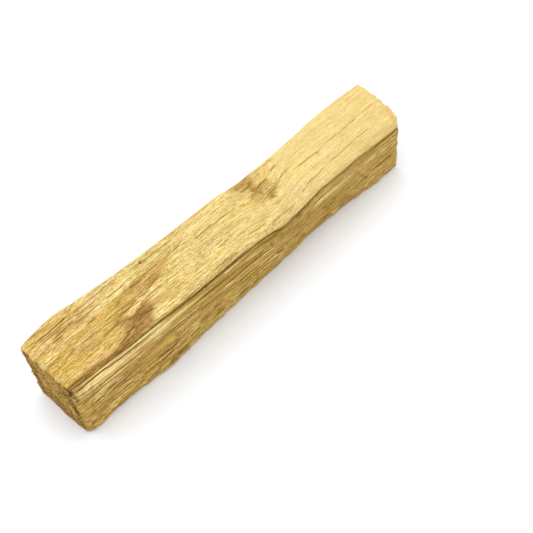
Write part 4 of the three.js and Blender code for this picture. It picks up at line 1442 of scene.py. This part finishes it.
@dataclass
class LooseFibres:
    """Slivers of torn wood that stand out of both ends and lie along the split edges.

    Each one is a slightly bent spike with a three-sided section, sunk into the wood. A
    pair is the least and the most. Crowding draws the roots on an end to its rim.
    """

    surface: StickSurface
    near_count: int = 260
    far_count: int = 150
    edge_count: int = 150
    end_length: Pair = (0.3, 0.85)
    edge_length: Pair = (1.0, 3.0)
    edge_span: Pair = (4.0, LENGTH - 8)
    foot_span: Pair = (0.2, 0.8)
    radius: Pair = (0.03, 0.06)
    taper: float = 0.8
    sunk: float = 0.15
    splay: float = 0.3
    edge_splay: float = 0.045
    fan_out: float = 0.02
    edge_fan_out: float = 0.002
    lift: float = 0.06
    rings: int = 4
    sides: int = 3
    seed: int = 8
    right_edge: float = -6.5
    near_crowding: float = 1.5
    far_crowding: float = 2.0
    split_side: float = -4.0
    split_tone: float = 0.25
    bend: Pair = (-1.0, 2.0)
    far_gold: float = 0.5
    stain: float = 0.5
    map_sides: float = 0.9
    map_margin: float = 0.01
    map_tip: Points = ((0.1, 0.8), (0.8, 0.8), (0.45, 0.97))
    name: str = "palo_santo_fibres"

    def roots(
        self, chance: np.random.Generator, places: Array, tones: Tones
    ) -> tuple[Array, Array, Array]:
        """Choose where the fibres stand, which way they point and how long they are.

        Those of an end point away from it and lean outwards. Those of the edges run
        along the seam, the rib crack and the right foot, either way.

        Args:
            chance: Seeded source of random numbers.
            places, tones: The stick's rings and their finish.

        Returns:
            Places, directions and lengths.
        """
        rows, columns = places.shape[:2]
        cap = self.surface.stick.cap_rings
        back = (cap * chance.random(self.near_count) ** self.near_crowding).astype(int)
        near = places[cap - back, chance.integers(0, columns, self.near_count)]
        back = (cap * chance.random(self.far_count) ** self.far_crowding).astype(int)
        far = places[rows - 1 - cap + back, chance.integers(0, columns, self.far_count)]
        x, y, z = (places[..., axis] for axis in range(3))
        foot = (y < self.split_side) & (z > self.foot_span[0]) & (z < self.foot_span[1])
        clear_of_ends = (x > self.edge_span[0]) & (x < self.edge_span[1])
        split = np.argwhere(clear_of_ends & ((tones["seam"] > self.split_tone) | foot))
        row, column = split[chance.integers(0, len(split), self.edge_count)].T
        root = np.concatenate([near, far, places[row, column]])
        way = np.concatenate([np.full(self.near_count, -1.0), np.full(self.far_count, 1.0),
                              chance.choice([-1.0, 1.0], self.edge_count)])
        on_edge = np.arange(len(root)) >= self.near_count + self.far_count
        lean = chance.normal(size=(len(root), 2))
        lean = lean * np.where(on_edge, self.edge_splay, self.splay)[:, None]
        outwards = np.where(on_edge, self.edge_fan_out, self.fan_out)[:, None]
        lean += (root[:, 1:] - [0, HEIGHT / 2]) * outwards
        heading = np.column_stack([way, lean])
        heading /= np.linalg.norm(heading, axis=1, keepdims=True)
        low = np.where(on_edge, self.edge_length[0], self.end_length[0])
        high = np.where(on_edge, self.edge_length[1], self.end_length[1])
        return root, heading, low + (high - low) * chance.random(len(root)) ** 2

    def build(self, places: Array, tones: Tones) -> bpy.types.Object:
        """Make all fibres as one mesh, with the attributes of the wood's finish.

        Ring k of a fibre lies at k parts of its length along the heading, raised by the
        square of that share, and shrinks to a blunt tip.

        Args:
            places, tones: The stick's rings and their finish.

        Returns:
            The new object.
        """
        chance = np.random.default_rng(self.seed)
        root, heading, length = self.roots(chance, places, tones)
        count = len(root)
        share = np.linspace(0, 1, self.rings)
        side = np.cross(heading, [0.0, 0.0, 1.0])
        side /= np.linalg.norm(side, axis=1, keepdims=True)
        above = np.cross(side, heading)
        reach = ((1 + self.sunk) * share - self.sunk)[None, :, None] * length[:, None, None]
        spine = root[:, None] + heading[:, None] * reach
        raised = chance.uniform(*self.bend, count) * self.lift
        spine = spine + above[:, None] * (raised[:, None] * share ** 2)[..., None]
        radius = chance.uniform(*self.radius, count)[:, None] * (1 - self.taper * share ** 2)
        turn = 2 * np.pi * np.arange(self.sides) / self.sides
        ring = (side[:, None, None] * np.cos(turn)[None, None, :, None]
                + above[:, None, None] * np.sin(turn)[None, None, :, None])
        points = spine[:, :, None] + ring * radius[..., None, None]
        points[..., 2] = np.maximum(points[..., 2], 0)
        points = points.reshape(-1, 3)

        fibre, k, s = self.faces(count)
        base = (fibre * self.rings + k) * self.sides
        after = (s + 1) % self.sides
        quads = np.stack([base + s, base + after, base + after + self.sides,
                          base + s + self.sides], -1).reshape(-1, 4)
        first = np.arange(count)[:, None] * self.rings * self.sides
        tip = first + (self.rings - 1) * self.sides + np.arange(self.sides)
        values = {
            "grain": points,
            "golden": points[:, 0] < self.surface.end_reach,
            "side": points[:, 1] < self.right_edge,
            "gold": self.far_gold * (points[:, 0] > LENGTH / 2),
            "stain": self.stain * np.repeat(chance.random(count) ** 2, self.rings * self.sides),
        }
        return make_piece(self.name, points, [quads, tip], values, self.unroll(count))

    def faces(self, count: int) -> list[Array]:
        """Return the fibre, the ring and the side of each four-sided face, as three grids."""
        numbers = (np.arange(count), np.arange(self.rings - 1), np.arange(self.sides))
        return np.meshgrid(*numbers, indexing="ij")

    def unroll(self, count: int) -> Array:
        """Return the fibres' bake map: one cell of a square grid to each.

        A cell holds the fibre's sides rolled out side by side, and its tip above them.

        Args:
            count: How many fibres there are.

        Returns:
            Array of loops by two.
        """
        grid = int(np.ceil(np.sqrt(count)))
        fibre, k, s = self.faces(count)
        u = np.stack([s, s + 1, s + 1, s], -1) / self.sides * self.map_sides
        v = np.stack([k, k, k + 1, k + 1], -1) / self.rings
        cell = np.stack([fibre % grid, fibre // grid], -1)
        sides = (cell[..., None, :] + np.stack([u, v], -1)).reshape(-1, 2)
        tips = (cell[:, 0, 0, None] + np.array(self.map_tip)).reshape(-1, 2)
        inside = 1 - 2 * self.map_margin
        return self.map_margin + inside * np.concatenate([sides, tips]) / grid


Number = "Wire | float"


def operator(operation: str, swapped: bool = False) -> Callable[["Wire", Number], "Wire"]:
    """Return a method of Wire that adds a Math node of two values.

    Args:
        operation: The Math node's operation.
        swapped: Whether the other value comes first, as in a reflected operator.

    Returns:
        The method, which takes the other value and gives the node's output.
    """

    def method(self: "Wire", other: Number) -> "Wire":
        """Return the result of the Math node."""
        pair = (other, self) if swapped else (self, other)
        return self.tree.add("ShaderNodeMath", {"operation": operation}, {0: pair[0], 1: pair[1]})

    return method


@dataclass(frozen=True)
class Wire:
    """A shader socket that takes part in Python arithmetic by adding Math nodes."""

    tree: "Nodes"
    socket: bpy.types.NodeSocket

    __add__ = operator("ADD")
    __radd__ = operator("ADD", swapped=True)
    __sub__ = operator("SUBTRACT")
    __rsub__ = operator("SUBTRACT", swapped=True)
    __mul__ = operator("MULTIPLY")
    __rmul__ = operator("MULTIPLY", swapped=True)
    least = operator("MINIMUM")
    most = operator("MAXIMUM")

    def rise(self, low: float, high: float) -> "Wire":
        """Return a smooth step.

        Args:
            low: Where the result is 0. It may be above high, and the step then falls.
            high: Where the result is 1.

        Returns:
            Values from 0 to 1.
        """
        settings = {"interpolation_type": "SMOOTHSTEP"}
        values = {"Value": self, "From Min": low, "From Max": high}
        return self.tree.add("ShaderNodeMapRange", settings, values)


@dataclass
class Nodes:
    """Adds nodes to one material's tree.

    The mix numbers are the places of the colour sockets of a Mix node.
    """

    tree: bpy.types.NodeTree
    mix_low: int = 6
    mix_high: int = 7
    mix_result: int = 2

    def add(self, kind: str, settings: dict, values: dict, output: int | str = 0) -> Wire:
        """Add a node, set it up and link it.

        Args:
            kind: The node's type.
            settings: Properties of the node, set first.
            values: Numbers, colours or wires by socket name or index.
            output: The output to return.

        Returns:
            The chosen output as a wire.
        """
        node = self.tree.nodes.new(kind)
        for name, setting in settings.items():
            setattr(node, name, setting)
        for key, value in values.items():
            self.connect(value, node.inputs[key])
        return Wire(self, node.outputs[output])

    def connect(self, value: "Wire | float | Triple", socket: bpy.types.NodeSocket) -> None:
        """Link a wire to a socket, or set the socket to a number, a vector or a colour.

        Args:
            value: What the socket takes.
            socket: An input. One for a colour takes three numbers as an opaque colour.
        """
        if isinstance(value, Wire):
            self.tree.links.new(value.socket, socket)
        elif socket.type == "RGBA":
            socket.default_value = (*value, 1.0)
        else:
            socket.default_value = value

    def attribute(self, name: str, output: str = "Fac") -> Wire:
        """Return a value that the mesh holds for each vertex."""
        return self.add("ShaderNodeAttribute", {"attribute_name": name}, {}, output)

    def part(self, vector: Wire, axis: str) -> Wire:
        """Return one coordinate of a vector."""
        return self.add("ShaderNodeSeparateXYZ", {}, {0: vector}, axis)

    def times(self, vector: Wire, factors: Triple) -> Wire:
        """Return a vector or a colour multiplied by three factors."""
        settings = {"operation": "MULTIPLY"}
        return self.add("ShaderNodeVectorMath", settings, {0: vector, 1: factors})

    def mix(self, share: Number, low: "Wire | Triple", high: "Wire | Triple") -> Wire:
        """Return a blend of two colours, from low at share 0 to high at 1."""
        values = {0: share, self.mix_low: low, self.mix_high: high}
        return self.add("ShaderNodeMix", {"data_type": "RGBA"}, values, self.mix_result)

    def tinted(self, base: Wire, tint: Triple, share: Number) -> Wire:
        """Return a colour multiplied by a tint, to a share of the way."""
        return self.mix(share, base, self.times(base, tint))

    def noise(self, place: Wire, cell: Triple, detail: float, rough: float) -> Wire:
        """Return noise with cells of a given size.

        Args:
            place: Coordinates in millimetres.
            cell: Size of a cell along X, Y and Z.
            detail: How many finer layers the noise has.
            rough: How strong the finer layers are.

        Returns:
            Noise from 0 to 1.
        """
        scaled = self.times(place, tuple(1 / side for side in cell))
        values = {"Vector": scaled, "Scale": 1.0, "Detail": detail, "Roughness": rough}
        return self.add("ShaderNodeTexNoise", {"noise_dimensions": "3D"}, values)


def colour(red: int, green: int, blue: int) -> Triple:
    """Return a display colour as linear light.

    Args:
        red, green, blue: The colour, from 0 to 255.

    Returns:
        The same colour, from 0 to 1, by the curve of a standard display.
    """
    shares = np.array([red, green, blue]) / 255
    linear = np.where(shares <= 0.04045, shares / 12.92, ((shares + 0.055) / 1.055) ** 2.4)
    return tuple(float(v) for v in linear)


@dataclass(frozen=True)
class WoodFinish:
    """Bare palo santo: pale straw to golden wood, with brown stains and dark fine pores.

    The grains, blotches, fibres, threads, mottles and hairs are noises drawn out along the
    stick, each with its cells' length and width in millimetres and its number of finer
    layers. The cells are taller than wide, so the split sides are coarser. A band is the
    two values between which a smooth step rises, or falls where the first is higher.
    The bump's height is in metres.
    """

    name: str = "palo_santo"
    straw: Triple = colour(209, 183, 112)
    straw_light: Triple = colour(227, 202, 134)
    gold: Triple = colour(198, 165, 91)
    gold_light: Triple = colour(206, 175, 101)
    # The sides' tans are the split wood's own colour, darkened further by painted shade for the sides'
    # dimmer light.
    side: Triple = colour(171, 139, 67)
    side_pale_with_shade: Triple = colour(193, 162, 92)
    cream: Triple = colour(219, 193, 129)
    side_cream: Triple = colour(234, 206, 138)
    brown: Triple = colour(151, 114, 59)
    crack: Triple = colour(88, 57, 14)
    end: Triple = colour(198, 160, 84)
    end_dark: Triple = colour(92, 60, 12)
    end_cover: float = 0.92
    pink_tint: Triple = (0.95, 0.88, 1.12)
    ochre_tint: Triple = (0.92, 0.83, 0.57)
    olive_tint: Triple = (0.93, 0.97, 0.76)
    dark_tint: Triple = (0.6, 0.535, 0.36)
    bright_tint: Triple = (1.34, 1.39, 1.58)
    tallness: float = 1.6
    broad_grain: Triple = (34.0, 2.6, 2.0)
    middle_grain: Triple = (16.0, 0.8, 2.0)
    blotches: Triple = (5.0, 1.8, 3.0)
    blotch_rough: float = 0.6
    short_fibre: Triple = (6.0, 0.21, 0.0)
    long_fibre: Triple = (15.0, 0.22, 0.0)
    threads: Triple = (1.3, 0.19, 0.0)
    mottles: Triple = (0.34, 0.26, 0.0)
    hairs: Triple = (11.0, 0.2, 0.0)
    hair_band: Pair = (0.36, 0.31)
    left_band: Pair = (5.0, 7.0)
    clear_band: Pair = (14.0, 90.0)
    straw_band: Pair = (20.0, 85.0)
    sharp_band: Pair = (25.0, 70.0)
    far_band: Pair = (40.0, 60.0)
    saw_angle: float = -0.35
    saw_cell: Triple = (1.0, 1.5, 0.26)
    grit_cell: Triple = (1.0, 0.42, 0.3)
    roughness: float = 0.8
    roughness_drop: float = -0.16
    gloss: float = 0.04
    bump_strength: float = 0.9
    bump_height: float = 0.00016

    def build(self) -> bpy.types.Material:
        """Make the material.

        Noise drawn out along the grain blends light and dark wood, the mesh's values say
        where it is golden, pinkish, pale, stained or cracked, and the same noise makes
        the fine bump. The grain is clearest at the near half.

        Returns:
            The material.
        """
        material = bpy.data.materials.new(self.name)
        material.use_nodes = True
        nodes = Nodes(material.node_tree)
        pattern = WoodPattern(nodes, self)
        wood = pattern.cracked(pattern.fibrous(pattern.stained(pattern.plain())))
        wood = nodes.mix(pattern.end * self.end_cover, wood, pattern.torn())
        shader = material.node_tree.nodes["Principled BSDF"]
        shader.inputs["Specular IOR Level"].default_value = self.gloss
        rough = pattern.middle * self.roughness_drop + self.roughness
        nodes.connect(wood, shader.inputs["Base Color"])
        nodes.connect(rough, shader.inputs["Roughness"])
        nodes.connect(pattern.bump(), shader.inputs["Normal"])
        return material


@dataclass
class WoodPattern:
    """The mesh's values and the noises, and what they draw in a finish's colours."""

    nodes: Nodes
    finish: WoodFinish

    def __post_init__(self) -> None:
        """Read the mesh's values and add the noises.

        Clear is how clear the grain is, lines are fine hair lines, and ragged is the
        noise round 0 that frays the sides of strokes.
        """
        read = self.nodes.attribute
        self.place = read("grain", "Vector")
        self.stain = read("stain")
        self.gold = read("gold")
        self.golden = read("golden")
        self.pink = read("pink")
        self.light = read("light")
        self.crack = read("crack")
        self.seam = read("seam")
        self.side = read("side")
        self.end = read("end")
        finish = self.finish
        self.distance = self.nodes.part(self.place, "X")
        self.left = self.nodes.part(self.place, "Y").rise(*finish.left_band)
        self.broad = self.noise(*finish.broad_grain)
        self.middle = self.noise(*finish.middle_grain)
        self.blotch = self.noise(*finish.blotches, finish.blotch_rough)
        short_fibre = self.noise(*finish.short_fibre)
        long_fibre = self.noise(*finish.long_fibre)
        self.fibre = short_fibre + (long_fibre - short_fibre) * self.side
        self.thread = self.noise(*finish.threads)
        self.mottle = self.noise(*finish.mottles)
        hair = self.noise(*finish.hairs).rise(*finish.hair_band)
        self.clear = 1.0 - self.distance.rise(*finish.clear_band) * (0.68 - self.side * 0.25)
        self.lines = hair * self.clear * self.clear * self.blotch.rise(0.4, 0.56)
        ragged = (self.middle - 0.5) * 0.5 + (self.fibre - 0.5) * 1.5
        self.ragged = ragged + (self.thread - 0.5) * 0.8
        turned = {"Vector": self.place, "Angle": finish.saw_angle}
        slanted = self.nodes.add("ShaderNodeVectorRotate", {"rotation_type": "X_AXIS"}, turned)
        self.saw = self.nodes.noise(slanted, finish.saw_cell, 2.0, 0.6)
        self.grit = self.nodes.noise(slanted, finish.grit_cell, 1.0, 0.5)

    def noise(self, length: float, width: float, detail: float, rough: float = 0.55) -> Wire:
        """Return a noise drawn out along the grain."""
        cell = (length, width, width * self.finish.tallness)
        return self.nodes.noise(self.place, cell, detail, rough)

    def plain(self) -> Wire:
        """Return the plain wood: straw or golden on the top, tan with painted shade on the sides.

        Returns:
            The colour, with olive and pinkish patches where the blotches say so.
        """
        finish, nodes, blotch, pink = self.finish, self.nodes, self.blotch, self.pink
        tone = (self.middle * 0.3 + self.broad * 0.4 + blotch * 0.3).rise(0.25, 0.75)
        # Paler towards the far end: partly the wood's own tone, partly the fall of light along the top
        # painted into the colour
        paler = tone + (self.distance.rise(*finish.straw_band) - 0.5) * 0.5
        pale = nodes.mix(paler, finish.straw, finish.straw_light)
        yellow = nodes.mix(tone, finish.gold, finish.gold_light)
        # The sides' tan carries painted shade as well as the split wood's own colour.
        tan = nodes.mix(tone, finish.side, finish.side_pale_with_shade)
        top = nodes.mix((self.golden + self.ragged * 0.25).rise(0.3, 0.75), pale, yellow)
        wood = nodes.mix(self.side, top, tan)
        olive = blotch.rise(0.48, 0.36) * (0.4 + self.side * 0.4)
        wood = nodes.tinted(wood, finish.olive_tint, olive)
        blush = (pink + self.ragged * 0.5).rise(0.05, 0.95) * pink.rise(0.02, 0.3)
        blush = blush + blotch.rise(0.54, 0.68) * (0.2 + self.side * 0.5)
        return nodes.tinted(wood, finish.pink_tint, blush.least(1.0))

    def stained(self, wood: Wire) -> Wire:
        """Return the wood with its ochre, pale and brown strokes, each with frayed sides.

        Args:
            wood: The colour so far.

        Returns:
            The new colour.
        """
        finish, nodes, ragged = self.finish, self.nodes, self.ragged
        warm = (self.gold + ragged * 0.5).rise(0.05, 1.0) * self.gold.rise(0.02, 0.3)
        wood = nodes.tinted(wood, finish.ochre_tint, warm)
        creamy = (self.light + ragged * 0.45).rise(0.1, 1.0) * self.light.rise(0.02, 0.25)
        wood = nodes.mix(creamy, wood, nodes.mix(self.side, finish.cream, finish.side_cream))
        worn = ragged * 0.6 + (self.mottle - 0.5) * 0.7
        brown = (self.stain + worn).rise(0.05, 1.0) * self.stain.rise(0.02, 0.2)
        return nodes.mix(brown * (1.0 - self.light * 0.6), wood, finish.brown)

    def fibrous(self, wood: Wire) -> Wire:
        """Return the wood with its fibres: darker and brighter by noise along the grain.

        The fibres and threads give a soft shade, and their highest and lowest parts a
        sharp one. Pale places and the left side are calmer, and stained wood is rougher.

        Args:
            wood: The colour so far.

        Returns:
            The new colour.
        """
        fibre, thread, side = self.fibre, self.thread, self.side
        short = 1.0 - side * 0.4
        soft = (fibre - 0.5) * (0.8 + side * 0.8) + (thread * short - short * 0.5) * 0.8
        soft = soft + (self.mottle - 0.5) * 1.1
        lit = fibre.rise(0.59, 0.65) * (1.0 + side) + thread.rise(0.6, 0.66) * short
        sunk = fibre.rise(0.41, 0.35) * (1.0 + side) + thread.rise(0.4, 0.34) * short
        patchy = 1.0 + (self.blotch.rise(0.38, 0.62) * 0.7 - 0.35) * side
        calm = (1.0 - side * self.light * 0.7) * (1.0 - side * self.left * 0.4) * patchy
        shade = (soft + (lit - sunk) * 0.14) * (self.clear * calm + self.stain * 1.35)
        shade = (shade + (self.middle - 0.5) * 0.08 + 0.5).least(1.0).most(0.0)
        dark = self.nodes.times(wood, self.finish.dark_tint)
        return self.nodes.mix(shade, dark, self.nodes.times(wood, self.finish.bright_tint))

    def cracked(self, wood: Wire) -> Wire:
        """Return the wood with its hair lines, pores and cracks, and the dark seam.

        A crack is dashed by the threads, fades a little along the stick and has a warm
        border.

        Args:
            wood: The colour so far.

        Returns:
            The new colour.
        """
        finish, nodes, crack, seam = self.finish, self.nodes, self.crack, self.seam
        hair = self.lines * (0.35 + self.side * (0.4 - self.light * 0.4))
        wood = nodes.tinted(wood, finish.dark_tint, hair)
        wood = nodes.tinted(wood, finish.ochre_tint, crack.rise(0.0, 0.55) * 0.75)
        dashes = crack * (0.8 + (self.thread - 0.5) * 1.6 + (self.mottle - 0.5) * 0.8)
        sharp = 0.8 - self.distance.rise(*finish.sharp_band) * 0.22
        wood = nodes.mix(dashes.least(1.0).most(0.0) * sharp, wood, finish.crack)
        wood = nodes.tinted(wood, finish.ochre_tint, seam.rise(0.0, 0.5) * 0.6)
        return nodes.mix((seam * 1.15).least(1.0) * 0.75, wood, finish.crack)

    def torn(self) -> Wire:
        """Return the colour of the two ends: torn fibres along the slanted saw marks.

        Returns:
            The colour, calmer and lighter on the far end.
        """
        finish, nodes, stain, light = self.finish, self.nodes, self.stain, self.light
        torn = self.saw * 0.55 + self.grit * 0.45 - stain * 0.12 + light * 0.12
        torn = torn.rise(0.35, 0.59).most(self.distance.rise(*finish.far_band) * 0.5)
        cut = nodes.mix(torn, finish.end_dark, finish.end)
        cut = nodes.mix((self.crack * 1.2 + stain * 0.3).least(1.0), cut, finish.crack)
        return nodes.tinted(cut, finish.bright_tint, light * self.saw.rise(0.4, 0.6))

    def bump(self) -> Wire:
        """Return the fine relief: fibres on the body, and saw marks on the ends.

        Returns:
            The bent normal.
        """
        height = self.middle * 0.3 + self.fibre + self.thread * 0.5 + self.mottle * 0.3
        height = (height - self.crack - self.lines) * (1.0 - self.end)
        height = height + (self.saw + self.grit * 0.7) * self.end * 2.4
        strength, distance = self.finish.bump_strength, self.finish.bump_height
        values = {"Strength": strength, "Distance": distance, "Height": height}
        return self.nodes.add("ShaderNodeBump", {}, values)


@dataclass
class Studio:
    """A pale floor, one large soft light, even white light all round, and the camera.

    The camera's place and target are in millimetres from the frame's origin. The floor's
    size and the light's place and size are in metres.
    """

    floor_size: float = 3.0
    floor_colour: Triple = (0.89, 0.915, 0.955)
    floor_roughness: float = 0.9
    floor_gloss: float = 0.1
    sky: float = 1.05
    camera_place: Triple = (-124.79, -143.65, 247.61)
    camera_target: Triple = (2.909, -9.735, 8.07)
    camera_roll: float = -3.32
    view_width: float = 21.54
    sensor_width: float = 36.0
    nearest_view: float = 0.01
    key_place: Triple = (-0.1, 0.27, 0.93)
    key_size: float = 1.0
    key_power: float = 4.4

    def build(self) -> None:
        """Make the floor, the lights and the camera."""
        self.floor()
        self.light()
        self.world()
        self.camera()
        bpy.context.scene.view_settings.view_transform = "Standard"

    def floor(self) -> None:
        """Lay a square plain floor under the stick."""
        half = self.floor_size / 2
        mesh = bpy.data.meshes.new("floor")
        corners = [(-half, -half, 0), (half, -half, 0), (half, half, 0), (-half, half, 0)]
        mesh.from_pydata(corners, [], [(0, 1, 2, 3)])
        material = bpy.data.materials.new("floor")
        material.use_nodes = True
        shader = material.node_tree.nodes["Principled BSDF"]
        shader.inputs["Base Color"].default_value = (*self.floor_colour, 1)
        shader.inputs["Roughness"].default_value = self.floor_roughness
        shader.inputs["Specular IOR Level"].default_value = self.floor_gloss
        mesh.materials.append(material)
        add_object("floor", mesh)

    def light(self) -> None:
        """Hang one square area light and aim it at the stick."""
        data = bpy.data.lights.new("key", "AREA")
        data.size = self.key_size
        data.energy = self.key_power
        light = add_object("key", data)
        light.location = self.key_place
        light.rotation_euler = Vector(self.key_place).to_track_quat("Z", "Y").to_euler()

    def world(self) -> None:
        """Fill the room with even white light."""
        world = bpy.data.worlds.new("studio")
        world.use_nodes = True
        background = world.node_tree.nodes["Background"]
        background.inputs["Color"].default_value = (1, 1, 1, 1)
        background.inputs["Strength"].default_value = self.sky
        bpy.context.scene.world = world

    def camera(self) -> None:
        """Set the camera by its place, its target and its roll."""
        data = bpy.data.cameras.new("camera")
        data.sensor_width = self.sensor_width
        data.angle = np.radians(self.view_width)
        data.clip_start = self.nearest_view
        place = Vector(self.camera_place) * METRES
        target = Vector(self.camera_target) * METRES
        turn = (place - target).to_track_quat("Z", "Y").to_matrix().to_4x4()
        roll = Matrix.Rotation(np.radians(self.camera_roll), 4, "Z")
        camera = add_object("camera", data)
        camera.matrix_world = Matrix.Translation(place) @ turn @ roll
        bpy.context.scene.camera = camera


def main() -> None:
    """Build the stick and its studio, and report each piece."""
    logging.basicConfig(level=logging.INFO, format="%(name)s: %(message)s")
    surface = StickSurface()
    wood = WoodFinish().build()
    places, grain, tones = surface.surface()
    pieces = [surface.build(places, grain, tones), LooseFibres(surface).build(places, tones)]
    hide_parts(NODE)
    for piece in pieces:
        piece.data.materials.append(wood)
        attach(piece, BODY)
        triangles = sum(len(p.vertices) - 2 for p in piece.data.polygons)
        LOG.info("%s: %d vertices, %d triangles", piece.name, len(piece.data.vertices), triangles)
    Studio().build()


if __name__ == "__main__":
    main()
